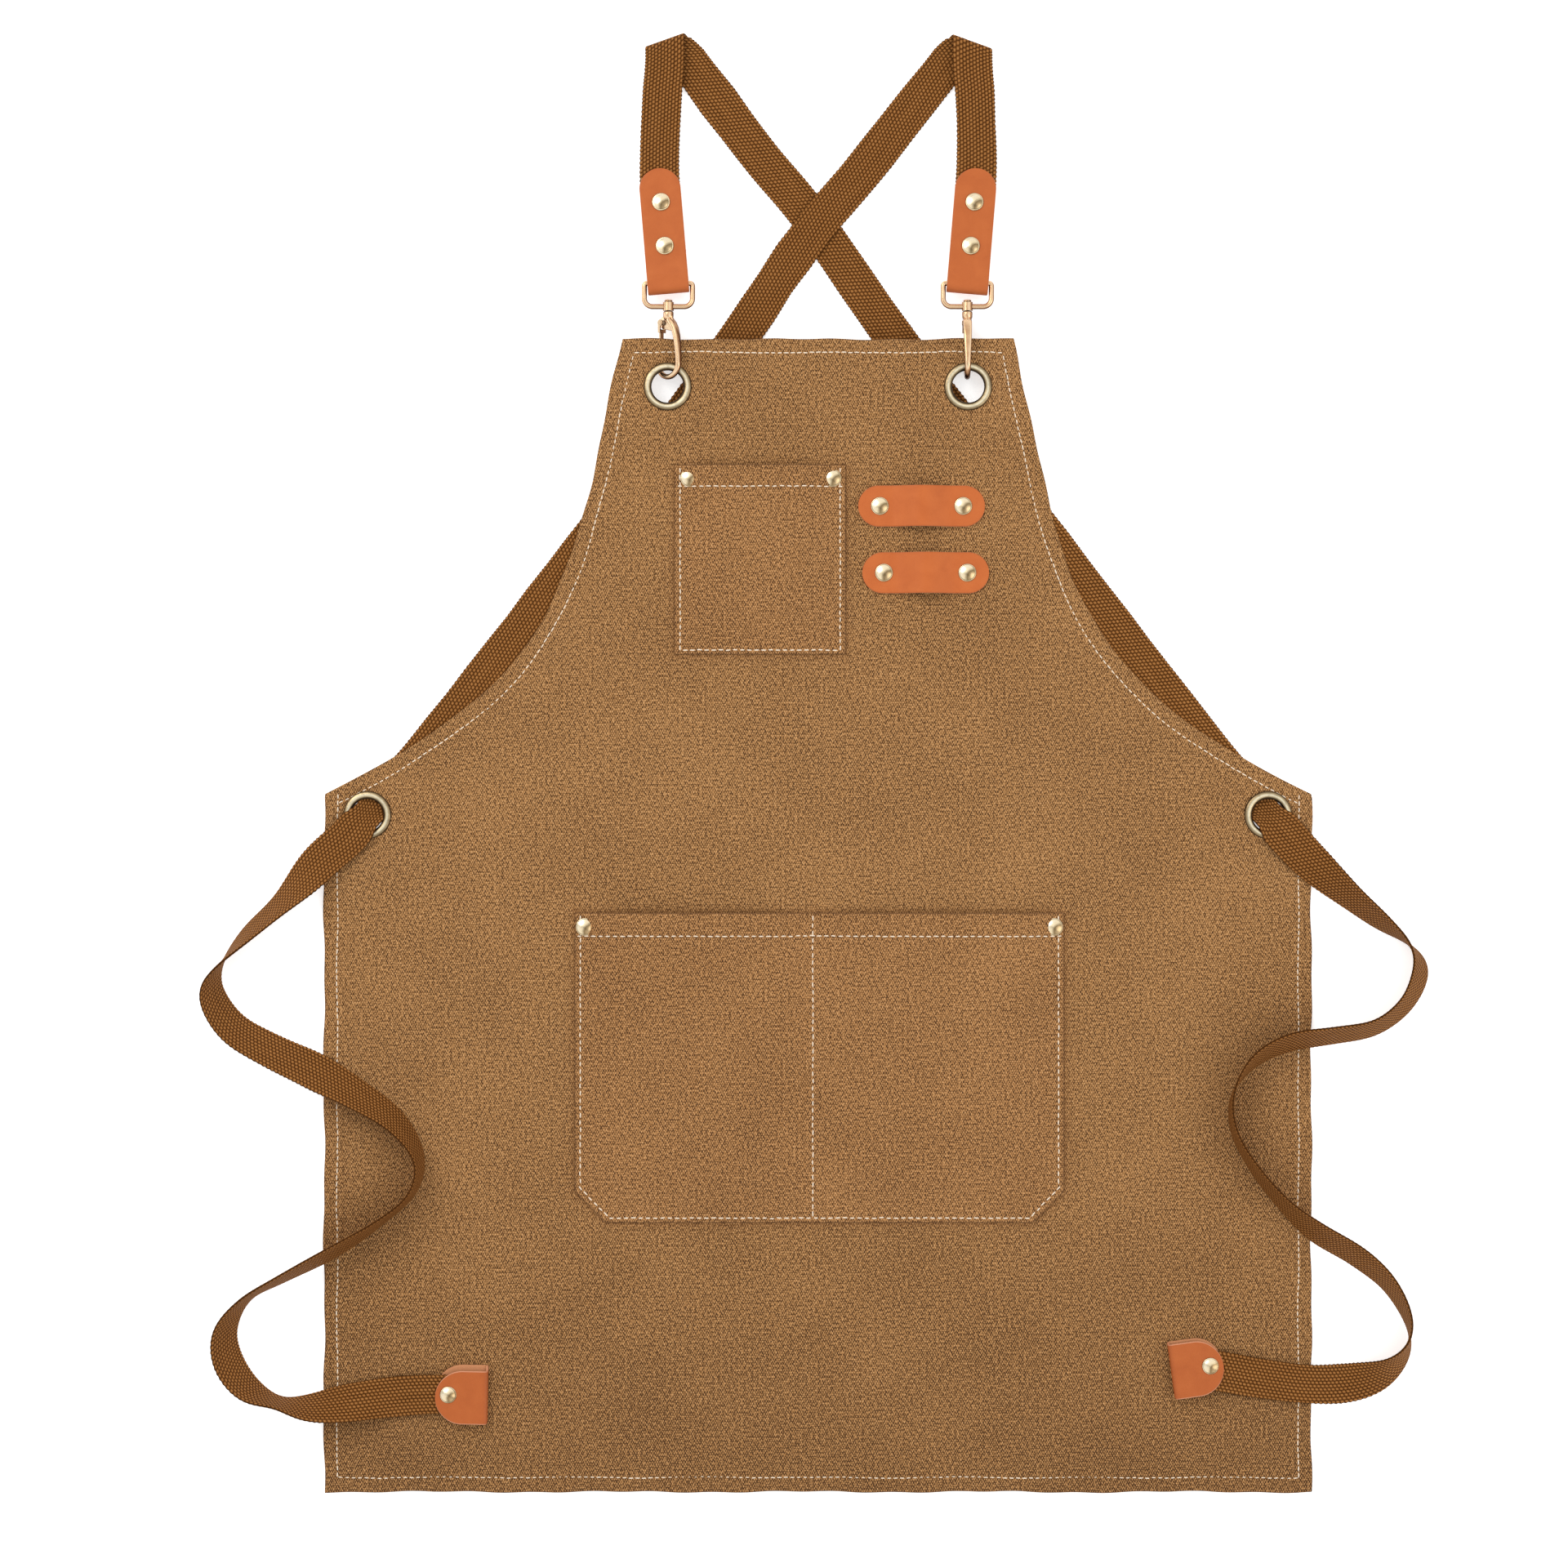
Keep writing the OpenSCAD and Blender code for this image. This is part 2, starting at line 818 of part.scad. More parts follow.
right_tie = [
    [300, -20, 4.2, 20, 0],
    [320, -38, 0.3, 52, 0],
    [342, -56, 0.3, 70, 0],
    [358, -69, 0.3, 94, 0],
    [365, -84, 0.3, 122, 0],
    [357, -104, 0.3, 120, 0],
    [338, -119, 0.3, 117, 0],
    [312, -124, 0.5, 118, 0],
    [285, -128, 4, 120, 0],
    [264, -139, 4, 112, 0],
    [251, -158, 4, 96, 0],
    [251, -180, 4, 87, 0],
    [263, -203, 4, 80, 0],
    [282, -226, 4, 72, 0],
    [302, -243, 3, 58, 0],
    [327, -258, 0.3, 57, 0],
    [346, -275, 0.3, 70, 0],
    [357, -296, 0.3, 85, 0],
    [357, -313, 0.3, 110, 0],
    [346, -327, 0.3, 136, 0],
    [326, -335, 0.4, 172, 0],
    [298, -336, 4, 180, 0],
    [266, -332, 4.4, 180, 0],
    [250, -329, 5.65, 180, 0],
    [224, -325, 5.65, 180, 0]];

// between two tie rows, one more on a smooth curve
function mid_row(l, i) = (9 * (l[i] + l[i + 1]) - l[max(0, i - 1)] - l[min(len(l) - 1, i + 2)]) / 16;
function smooth_rows(l) = [for (i = [0 : 2 * len(l) - 2]) i % 2 == 0 ? l[i / 2] : mid_row(l, (i - 1) / 2)];

function heading(l, i) = let (d = l[min(len(l) - 1, i + 1)] - l[max(0, i - 1)]) unit([d[0], d[1]]);
function plan_dir(l, i) = is_undef(l[i][5])
    ? let (h = heading([for (r = l) [r[0], r[1]]], i)) [h[1], -h[0]]
    : [cos(l[i][5]), sin(l[i][5])];
// tilt turns the far edge down past the run, the near edge up
function wide(l, i) = let (p = plan_dir(l, i), t = l[i][3]) [p[0] * cos(t), p[1] * cos(t), -sin(t)];
function mid_z(r) = r[2] + abs(sin(r[3])) * strap_w / 2 + abs(cos(r[3])) * strap_t / 2;
function centre(r) = [r[0], r[1], mid_z(r)];
function along(c, i) = unit(c[min(len(c) - 1, i + 1)] - c[max(0, i - 1)]);

// five points across one face, off the middle by d
function face_points(c, t, w, cup, d) =
    let (k = norm(cross(t, w)), n = cross(t, w) / k)
    [for (j = [-2 : 2])
        let (f = j / 4,
             r = abs(cup) < 1 ? 0 : strap_w / (cup * PI / 180),
             u = r == 0 ? f * strap_w : r * sin(cup * f),
             v = r == 0 ? 0 : r * (1 - cos(cup * f)),
             a = r == 0 ? 0 : cup * f)
        c + w / k * (u - d * sin(a)) + n * (v + d * cos(a))];

function ring(c, t, w, cup) = concat(face_points(c, t, w, cup, strap_t / 2),
    let (b = face_points(c, t, w, cup, -strap_t / 2)) [for (j = [4 : -1 : 0]) b[j]]);

module webbing(rows) {
    n = len(rows);
    c = [for (r = rows) centre(r)];
    rings = [for (i = [0 : n - 1]) ring(c[i], along(c, i), wide(rows, i), rows[i][4])];
    points = [for (r = rings) each r];
    sides = [for (i = [0 : n - 2]) for (j = [0 : 9])
        for (f = [[i * 10 + j, i * 10 + (j + 1) % 10, (i + 1) * 10 + j],
                  [i * 10 + (j + 1) % 10, (i + 1) * 10 + (j + 1) % 10, (i + 1) * 10 + j]]) f];
    caps = [for (j = [0 : 3])
        for (f = [[j + 1, j, 9 - j], [j + 1, 9 - j, 8 - j]]) f];
    last = [for (f = caps) [for (k = [2 : -1 : 0]) f[k] + (n - 1) * 10]];
    color("#7A4A24")
        polyhedron(points = points, faces = concat(sides, caps, last), convexity = 10);
}

module left_strap() {
    webbing(concat(left_top, smooth_rows(right_tie)));
}

module right_strap() {
    webbing(concat(right_top, smooth_rows(left_tie)));
}

// ---------- D-loops ----------
module wire(l, r) {
    cylinder(h = l, r = r);
}

// quarter of a ring of wire between the directions a and a + 90 in the loop's own plane
module bend(big, r, a, sweep = 90) {
    rotate([0, 0, a])
        rotate_extrude(angle = sweep, $fn = 48)
            translate([big, 0])
                circle(r);
}

module d_loop() {
    h = loop_half;
    r = loop_wire_r;
    k = 5;
    q = 1.7;
    color("#C98F6B")
        difference() {
            union() {
                translate([-h + q, 0, 0])
                    rotate([0, 90, 0])
                        wire(2 * (h - q), r);
                translate([-h + k, -loop_drop, 0])
                    rotate([0, 90, 0])
                        wire(2 * (h - k), r);
                for (s = [-1, 1]) {
                    translate([s * h, -loop_drop + k, 0])
                        rotate([-90, 0, 0])
                            wire(loop_drop - k - q, r);
                }
                translate([h - q, -q, 0])
                    bend(q, r, 0);
                translate([-h + q, -q, 0])
                    bend(q, r, 90);
                translate([-h + k, -loop_drop + k, 0])
                    bend(k, r, 180);
                translate([h - k, -loop_drop + k, 0])
                    bend(k, r, 270);
                translate([0, -loop_drop - boss_half, 0])
                    rotate([-90, 0, 0])
                        cylinder(h = 2 * boss_half, r = boss_r);
            }
            translate([0, -loop_drop - 8, 0])
                rotate([-90, 0, 0])
                    cylinder(h = 16, r = stud_r + 0.08);
        }
}

module left_loop() {
    translate([-bar_x, bar_y, hang_z])
        d_loop();
}

module right_loop() {
    translate([bar_x, bar_y, hang_z])
        d_loop();
}

// ---------- swivel hooks ----------
// own frame: -Y down the hook from the loop's foot, +Z towards the spine
module hook_body() {
    w = hook_wire_r;
    color("#CB9470")
        difference() {
            union() {
                // stud with its head above the boss
                translate([0, -boss_half - 0.3, 0])
                    rotate([-90, 0, 0])
                        cylinder(h = 2 * boss_half + 0.6, r = stud_r);
                translate([0, boss_half + 0.15, 0])
                    rotate([-90, 0, 0])
                        cylinder(h = 1.3, r = 2.5);
                translate([0, -8.5, 0])
                    rotate([-90, 0, 0])
                        cylinder(h = 8.5 - boss_half - 0.15, r = 3.2);
                translate([0, -gate_u, -1.8])
                    wire(5.8, w);
                // spine
                translate([0, -gate_u - 4, 4])
                    rotate([0, 90, 0])
                        rotate([0, 0, 90])
                            bend(4, w, 0);
                translate([0, -hook_reach, hook_half])
                    rotate([-90, 0, 0])
                        wire(hook_reach - gate_u - 4, w);
                // end bend and nose
                translate([0, -hook_reach, 0])
                    rotate([0, 90, 0])
                        rotate([0, 0, 180])
                            bend(hook_half, w, 0, 180);
                translate([0, -hook_reach, -hook_half])
                    rotate([-90, 0, 0])
                        wire(1.2, w);
                // ear for the gate pin
                translate([-0.8, -gate_u - 1.6, -gate_r])
                    cube([1.6, 3.2, gate_r - 1]);
                translate([-0.8, -gate_u, -gate_r])
                    rotate([0, 90, 0])
                        cylinder(h = 1.6, r = 1.9);
            }
            translate([-5, -gate_u, -gate_r])
                rotate([0, 90, 0])
                    cylinder(h = 10, r = 0.76);
        }
}

module gate_body() {
    reach = gate_end - gate_u;
    color("#CB9470")
        translate([0, -gate_u, -gate_r])
            difference() {
                union() {
                    for (s = [-1, 1])
                        translate([s * 2.35 - 0.4, 0, 0])
                            rotate([0, 90, 0])
                                cylinder(h = 0.8, r = 1.9);
                    for (s = [-1, 1])
                        translate([s * 2.35 - 0.4, -5, -1.7])
                            cube([0.8, 5, 1.7]);
                    translate([-2.75, -6, -1.7])
                        cube([5.5, 2, 1.7]);
                    translate([-1.5, -reach, -1.7])
                        cube([3, reach - 5, 1]);
                }
                translate([-5, 0, 0])
                    rotate([0, 90, 0])
                        cylinder(h = 10, r = 0.8);
            }
}

module gate_pin_body() {
    color("#B98A5E")
        translate([-3, -gate_u, -gate_r])
            rotate([0, 90, 0]) {
                cylinder(h = 6, r = 0.75);
                cylinder(h = 0.2, r = 1.3);
                translate([0, 0, 5.8])
                    cylinder(h = 0.2, r = 1.3);
            }
}

module gate_spring_body() {
    color("#9A9A98")
        translate([0, -gate_u, -gate_r])
            for (s = [-1, 1])
                translate([s * 1.35 - 0.45, 0, 0])
                    rotate([0, 90, 0])
                        difference() {
                            cylinder(h = 0.9, r = 1.3);
                            translate([0, 0, -1])
                                cylinder(h = 3, r = 0.9);
                        }
}

module on_hook(s, turn) {
    translate([s * bar_x, foot_y, hang_z])
        rotate([0, turn, 0])
            children();
}

module left_hook() {
    on_hook(-1, left_hook_turn)
        hook_body();
}

module right_hook() {
    on_hook(1, 0)
        hook_body();
}

module left_gate() {
    on_hook(-1, left_hook_turn)
        gate_body();
}

module right_gate() {
    on_hook(1, 0)
        gate_body();
}

module left_gate_pin() {
    on_hook(-1, left_hook_turn)
        gate_pin_body();
}

module right_gate_pin() {
    on_hook(1, 0)
        gate_pin_body();
}

module left_gate_spring() {
    on_hook(-1, left_hook_turn)
        gate_spring_body();
}

module right_gate_spring() {
    on_hook(1, 0)
        gate_spring_body();
}

apron_panel();
bib_pocket();
waist_pocket();
hem_thread();
bib_pocket_thread();
waist_pocket_thread();
bib_eyelet_left();
bib_eyelet_right();
waist_eyelet_left();
waist_eyelet_right();
bib_washer_left();
bib_washer_right();
waist_washer_left();
waist_washer_right();
bib_pocket_rivet_caps();
bib_pocket_rivet_backs();
waist_pocket_rivet_caps();
waist_pocket_rivet_backs();
upper_tool_loop();
lower_tool_loop();
upper_loop_rivet_caps();
upper_loop_rivet_backs();
lower_loop_rivet_caps();
lower_loop_rivet_backs();
left_strap();
right_strap();
left_strap_tab();
right_strap_tab();
left_tab_rivet_caps();
left_tab_rivet_backs();
right_tab_rivet_caps();
right_tab_rivet_backs();
left_end_tab();
right_end_tab();
left_end_rivet();
right_end_rivet();
left_end_rivet_back();
right_end_rivet_back();
left_loop();
right_loop();
left_hook();
right_hook();
left_gate();
right_gate();
left_gate_pin();
right_gate_pin();
left_gate_spring();
right_gate_spring();
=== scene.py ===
import json
import math

import bmesh
import bpy
import numpy as np
from mathutils import Matrix, Vector

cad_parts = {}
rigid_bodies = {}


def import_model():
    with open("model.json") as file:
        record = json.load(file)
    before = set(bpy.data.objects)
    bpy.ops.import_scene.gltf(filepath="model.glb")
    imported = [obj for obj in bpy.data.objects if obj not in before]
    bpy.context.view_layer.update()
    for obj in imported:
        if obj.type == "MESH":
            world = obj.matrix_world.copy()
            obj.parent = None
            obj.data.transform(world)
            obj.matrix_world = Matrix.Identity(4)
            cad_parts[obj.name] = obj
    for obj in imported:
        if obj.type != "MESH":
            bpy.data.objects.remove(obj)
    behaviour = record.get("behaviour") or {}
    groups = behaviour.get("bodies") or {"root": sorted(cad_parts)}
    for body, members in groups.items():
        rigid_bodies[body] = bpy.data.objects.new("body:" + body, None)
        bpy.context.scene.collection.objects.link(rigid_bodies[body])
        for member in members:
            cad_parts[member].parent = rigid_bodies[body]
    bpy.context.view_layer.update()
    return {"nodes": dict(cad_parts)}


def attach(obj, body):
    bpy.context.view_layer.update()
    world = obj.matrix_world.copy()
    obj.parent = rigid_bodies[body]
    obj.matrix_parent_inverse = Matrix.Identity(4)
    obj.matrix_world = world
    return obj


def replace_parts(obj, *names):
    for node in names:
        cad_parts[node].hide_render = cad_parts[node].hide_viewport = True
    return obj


for o in list(bpy.data.objects):
    bpy.data.objects.remove(o, do_unlink=True)
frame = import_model()
RNG = np.random.default_rng(7)
SCENE = bpy.context.scene

# ---------------- sizes, millimetres
# the panel: half widths, its bib, waist and foot, and the armhole's curve
HALF_W, HALF_BIB, BIB_Y, HEM_Y, WAIST_Y = 300.0, 118.5, 298.0, -402.0, 22.0
ARM = [np.array(p, float) for p in ((HALF_BIB, BIB_Y), (152, 152), (147, 97), (HALF_W, WAIST_Y))]
# the canvas's face above the table, and how much higher the hooks lift the bib
FACE, LIFT = 3.8, 6.6
HEM, CANVAS_T, SEAM_IN = 11.0, 1.0, 8.0
BIB_EYE, WAIST_EYE, EYE_BORE, EYE_R = (91.0, 269.0), (273.5, 9.5), 9.75, 14.5
# the D-loop's bar, and how the strap's tab leans outward and dips from it
BAR = (90.5, 328.7, 9.8)
LEAN_DEG = 4.9
LEAN, PITCH = math.radians(LEAN_DEG), math.radians(4)
WEB_W, WEB_T, LOW = 24.0, 1.5, 0.1
LEATHER_T, TAB_HALF_W = 1.6, 12.5
# centre across, mouth, width and depth of each pocket
BIB_POCKET, WAIST_POCKET, CHAMFER = (-35, 222, 104, 115), (1, -50, 297, 188), 19
SIDES = (("left", -1), ("right", 1))


def smooth(a):
    a = np.clip(a, 0, 1)
    return a * a * (3 - 2 * a)


def add_object(name, data):
    o = bpy.data.objects.new(name, data)
    SCENE.collection.objects.link(o)
    return o


# ---------------- camera, looking straight down
cam = add_object("camera", bpy.data.cameras.new("camera"))
SCENE.camera = cam
CAM_HEIGHT, VIEW_HALF = 2.25, 0.4769
cam.location = (-0.0205, 0.0283, CAM_HEIGHT)
cam.rotation_euler = (0, 0, 0)
cam.data.sensor_width = 36
cam.data.lens = 18 / (VIEW_HALF / CAM_HEIGHT)
cam.data.clip_start, cam.data.clip_end = 0.05, 50


# ---------------- nodes
class Nodes:
    """Short names for the nodes of one tree."""

    def __init__(self, tree):
        self.t = tree

    def new(self, kind):
        return self.t.nodes.new("ShaderNode" + kind)

    def put(self, socket, v):
        if isinstance(v, bpy.types.NodeSocket):
            self.t.links.new(v, socket)
        elif v is not None:
            socket.default_value = v

    def math(self, op, a, b=None, c=None, clamp=False):
        n = self.new("Math")
        n.operation = op
        n.use_clamp = clamp
        for i, v in enumerate((a, b, c)):
            self.put(n.inputs[i], v)
        return n.outputs[0]

    def add(self, a, b):
        return self.math("ADD", a, b)

    def sub(self, a, b, clamp=False):
        return self.math("SUBTRACT", a, b, clamp=clamp)

    def mul(self, a, b, clamp=False):
        return self.math("MULTIPLY", a, b, clamp=clamp)

    def mad(self, a, b, c, clamp=False):
        """a times b plus c."""
        return self.math("MULTIPLY_ADD", a, b, c, clamp)

    def power(self, v, k):
        """The size of v, to the power k."""
        return self.math("POWER", self.math("ABSOLUTE", v), k)

    def mix(self, f, a, b):
        n = self.new("Mix")
        n.data_type = "RGBA"
        self.put(n.inputs[0], f)
        self.put(n.inputs[6], a)
        self.put(n.inputs[7], b)
        return n.outputs[2]

    def ramp(self, f, stops):
        n = self.new("ValToRGB")
        e = n.color_ramp.elements
        while len(e) < len(stops):
            e.new(0.5)
        for s, (p, c) in zip(e, stops):
            s.position = p
            s.color = (*c, 1)
        self.put(n.inputs[0], f)
        return n.outputs[0]

    def split(self, v):
        n = self.new("SeparateXYZ")
        self.put(n.inputs[0], v)
        return n.outputs

    def coord(self, kind="Object"):
        return self.new("TexCoord").outputs[kind]

    def scaled(self, v, scale, turn=(0, 0, 0)):
        n = self.new("Mapping")
        self.put(n.inputs[0], v)
        n.inputs[2].default_value = turn
        n.inputs[3].default_value = scale
        return n.outputs[0]

    def noise(self, v, scale, detail=3, rough=0.5, dist=0.0):
        """Noise 0 to 1; scale is one number, or one for each axis."""
        if isinstance(scale, tuple):
            v, scale = self.scaled(v, scale), 1.0
        n = self.new("TexNoise")
        for k, x in (("Vector", v), ("Scale", scale), ("Detail", detail), ("Roughness", rough),
                     ("Distortion", dist)):
            self.put(n.inputs[k], x)
        return n.outputs[0]


class Mat(Nodes):
    """A material's nodes."""

    def __init__(self, name):
        self.m = bpy.data.materials.new(name)
        self.m.use_nodes = True
        super().__init__(self.m.node_tree)
        self.b = self.t.nodes["Principled BSDF"]

    def uv(self):
        """Across and along the cloth, in millimetres."""
        n = self.new("UVMap")
        n.uv_map = "mm"
        u, v, _ = self.split(n.outputs[0])
        return n.outputs[0], u, v

    def attr(self, name):
        n = self.new("Attribute")
        n.attribute_name = name
        return n.outputs["Fac"]

    def cells(self, v, scale):
        """Distance to the nearest border between cells."""
        n = self.new("TexVoronoi")
        n.feature = "DISTANCE_TO_EDGE"
        self.put(n.inputs["Vector"], v)
        n.inputs["Scale"].default_value = scale
        return n.outputs[0]

    def bump(self, h, mm, strength=1.0):
        n = self.new("Bump")
        n.inputs["Strength"].default_value = strength
        n.inputs["Distance"].default_value = mm / 1000
        self.put(n.inputs["Height"], h)
        return n.outputs[0]

    def out(self, color, rough, normal=None, **more):
        self.put(self.b.inputs["Base Color"], color)
        self.put(self.b.inputs["Roughness"], rough)
        self.put(self.b.inputs["Normal"], normal)
        for k, v in more.items():
            self.put(self.b.inputs[k.replace("_", " ")], v)
        return self.m


def weave(M, px, py, warp=0.0):
    """Over-and-under yarns of pitch px by py mm: height 0 to 1, and 1 where the lengthwise yarn is on top."""
    uv, u, v = M.uv()
    w = M.noise(uv, (0.11, 0.11, 1), 2)
    k = M.mul(M.sub(w, 0.5), warp)
    su = M.math("SINE", M.mul(M.add(u, k), math.pi / px))
    sv = M.math("SINE", M.mul(M.add(v, k), math.pi / py))
    prod = M.mul(su, sv)
    over = M.mad(prod, 6, 0.5, clamp=True)
    au = M.power(su, 0.7)
    av = M.power(sv, 0.7)
    cover = M.power(prod, 0.35)
    return uv, M.mul(M.mad(M.sub(au, av), over, av), cover), over


def canvas(name, dark, mid, light):
    """Plain weave whose thicker crosswise yarns show as staggered floats, painted lighter where they stand
    high and darker in the gaps, painted light and shade of the weave.
    """
    M = Mat(name)
    uv, h, over = weave(M, 0.735, 1.33, 1.6)
    v = M.uv()[2]
    warp_slub = M.noise(uv, (0.7, 0.05, 1), 3, 0.7)
    weft_slub = M.noise(uv, (0.05, 0.75, 1), 3, 0.7)
    slub = M.add(M.mul(warp_slub, 0.5), M.mul(weft_slub, 0.5))
    grain = M.noise(uv, (0.64, 0.74, 1), 1, 0.6)
    foot = M.mad(v, -1 / 500, -0.35, clamp=True)
    cloud = M.noise(uv, (0.012, 0.012, 1), 4, 0.6)
    floats = M.mul(over, h)
    # painted light and shade: lighter where the floats stand high, darker in the gaps between them
    f = M.mad(floats, 0.62, M.mad(slub, 0.30, -0.10))
    f = M.mad(grain, 1.5, M.mad(cloud, 0.24, M.add(f, -0.76)))
    f = M.mad(foot, -0.22, f)
    col = M.ramp(f, [(0.0, dark), (0.42, mid), (1.0, light)])
    # painted shade: a contact shadow close outside the pockets, and a dark line along the cut rim standing in
    # for the shade of the edge
    col = M.mix(M.mul(M.attr("near"), 0.42), col, (0.16, 0.060, 0.016, 1))
    # painted shade: a dark line along every cut rim, where the edge's step would cast shade
    rim = M.sub(1.0, M.mul(M.attr("edge"), 0.9), clamp=True)
    col = M.mix(M.mul(rim, 0.55), col, (0.10, 0.040, 0.012, 1))
    rough = M.mad(slub, 0.12, 0.82)
    n = M.bump(M.add(floats, M.mul(grain, 0.4)), 0.30, 0.8)
    return M.out(col, rough, n, Sheen_Weight=0.08, Sheen_Roughness=0.5, Specular_IOR_Level=0.18)


def webbing_mat(name):
    """Heavy twill tape: staggered, slightly slanted oval floats in twelve columns, with painted shade dark
    between them and painted light on their crowns.
    """
    M = Mat(name)
    uv, u, v = M.uv()
    wander = M.noise(uv, (0.2, 0.05, 1), 2)
    su = M.math("SINE", M.mul(u, math.pi / 2))
    odd = M.math("GREATER_THAN", su, 0.0)
    lean = M.mul(M.sub(M.math("FRACT", M.mul(u, 0.5)), 0.5), 0.5)
    along = M.add(M.mad(odd, 1.25, lean), M.mad(wander, 0.8, v))
    sv = M.math("ABSOLUTE", M.math("SINE", M.mul(along, math.pi / 2.5)))
    h = M.mul(M.power(su, 0.65), M.math("POWER", sv, 0.75))
    ply = M.noise(uv, (2.2, 1.0, 1), 3, 0.6)
    long_var = M.noise(uv, (0.4, 0.03, 1), 3, 0.6)
    f = M.mad(ply, 0.45, M.mad(long_var, 0.3, -0.40))
    # painted light and shade: lighter where the floats stand high, dark in the gaps
    f = M.mad(h, 0.85, f)
    col = M.ramp(f, [(0.0, (0.045, 0.014, 0.001)), (0.35, (0.155, 0.055, 0.010)),
                     (0.75, (0.345, 0.145, 0.039)), (1.0, (0.48, 0.235, 0.080))])
    n = M.bump(M.add(h, M.mul(ply, 0.25)), 0.55, 0.9)
    return M.out(col, M.mad(ply, 0.15, 0.68), n, Specular_IOR_Level=0.08)


def leather_mat(name, k=1.0, cut_width=0.12):
    """Grained hide, k times as light, with a painted shade line along its rim, a pale cut face cut_width
    deep, darker bends and a suede back.
    """
    M = Mat(name)
    uv, u, v = M.uv()
    d = M.attr("edge")
    cells = M.cells(uv, 1.15)
    fine = M.noise(uv, 2.2, 4, 0.6)
    cloud = M.noise(uv, 0.09, 4, 0.6, 0.4)
    f = M.mad(cloud, 0.7, M.mad(fine, 0.25, 0.02))
    tones = ((0.1, (0.40, 0.085, 0.014)), (0.5, (0.475, 0.112, 0.021)), (0.9, (0.54, 0.14, 0.030)))
    col = M.ramp(f, [(at, tuple(k * c for c in tone)) for at, tone in tones])
    # painted shade: a dark line along the rim standing in for the edge's shadow, then the paler cut face
    rim = M.sub(1.0, M.mul(d, 0.9, clamp=True), clamp=True)
    col = M.mix(M.mul(rim, 0.35), col, (0.33, 0.075, 0.018, 1))
    cut = M.math("LESS_THAN", d, cut_width)
    col = M.mix(M.mul(cut, 0.85), col, (0.66, 0.30, 0.17, 1))
    # darker along the folds
    fold_dark = M.mad(M.attr("bend"), 0.5, 0.0, clamp=True)
    col = M.mix(fold_dark, col, (0.26, 0.060, 0.014, 1))
    back = M.attr("back")
    suede = M.ramp(fine, [(0.2, (0.44, 0.17, 0.07)), (0.8, (0.58, 0.27, 0.13))])
    col = M.mix(back, col, suede)
    rough = M.math("MAXIMUM", M.mad(fine, 0.25, 0.42), M.mul(back, 0.9))
    pores = M.mul(cells, 3.0, clamp=True)
    n = M.bump(M.add(pores, M.mul(fine, 0.6)), 0.07, 0.5)
    return M.out(col, rough, n, Specular_IOR_Level=0.3)


def painted_light_metal(name, stops, rough=0.2, painted_light_dir=(0.0, 0.0, 1.0)):
    """Plating with painted reflections and shade: coloured by how far each face turns toward a set direction,
    with tarnish and fine scratches.
    """
    M = Mat(name)
    v = M.coord()
    dot = M.new("VectorMath")
    dot.operation = "DOT_PRODUCT"
    dot.inputs[1].default_value = painted_light_dir
    M.put(dot.inputs[0], M.new("NewGeometry").outputs["Normal"])
    tarnish = M.noise(v, 240, 4, 0.65)
    scratch = M.noise(v, (3000, 260, 900), 2, 0.5)
    # painted reflections and shade, from how each face turns toward the set direction
    col = M.ramp(M.mad(tarnish, 0.10, M.sub(dot.outputs["Value"], 0.05)), stops)
    r = M.mad(tarnish, 0.22, M.mad(scratch, 0.12, rough - 0.12))
    n = M.bump(scratch, 0.02, 0.25)
    return M.out(col, r, n, Metallic=1.0)


def eyelet_mat(name):
    """Old brass with a painted highlight along the crown of the ring, painted shade down the bore and at its
    outer edge, and real tarnish patches over it.
    """
    M = Mat(name)
    a = M.attr("ring")
    v = M.coord()
    tarnish = M.noise(v, 300, 4, 0.65)
    bright = (1.0, 0.90, 0.66)
    tarnish_and_shade = (0.055, 0.036, 0.020)
    # painted light: a bright crown and a shaded bore and outer edge, by how far out on the ring
    base = M.ramp(a, [(0.0, tarnish_and_shade), (0.17, tarnish_and_shade), (0.27, (0.30, 0.22, 0.12)), (0.36, (0.80, 0.66, 0.42)),
                      (0.50, bright), (0.70, (0.52, 0.40, 0.23)), (0.86, (0.20, 0.135, 0.07)),
                      (1.0, (0.04, 0.026, 0.015))])
    col = M.mix(M.mad(tarnish, 1.6, -0.74, clamp=True), base, (*tarnish_and_shade, 1))
    r = M.mad(tarnish, 0.35, 0.14)
    return M.out(col, r, M.bump(tarnish, 0.03, 0.3), Metallic=1.0)


def thread_mat(name):
    """Twisted, slightly fuzzy thread."""
    M = Mat(name)
    uv, u, v = M.uv()
    twist = M.math("SINE", M.mul(M.add(u, M.mul(v, 0.6)), 7.0))
    fuzz = M.noise(uv, 2.0, 3, 0.6)
    # painted shade in the grooves of the twist, lighter on its ridges
    f = M.mad(twist, 0.25, fuzz)
    col = M.ramp(f, [(0.2, (0.74, 0.58, 0.42)), (0.7, (1.0, 0.86, 0.68))])
    return M.out(col, M.mad(fuzz, 0.2, 0.6), M.bump(twist, 0.08, 0.6), Sheen_Weight=0.2)


CANVAS = canvas("canvas", (0.070, 0.029, 0.008), (0.385, 0.183, 0.059), (0.72, 0.42, 0.19))
POCKET = canvas("pocket_canvas", (0.070, 0.028, 0.008), (0.385, 0.178, 0.057), (0.72, 0.41, 0.185))
WEB = webbing_mat("webbing")
LEATHER = leather_mat("leather")
LOOP_LEATHER = leather_mat("leather_loops", 1.1)
END_LEATHER = leather_mat("leather_ends", 0.93, 0.55)
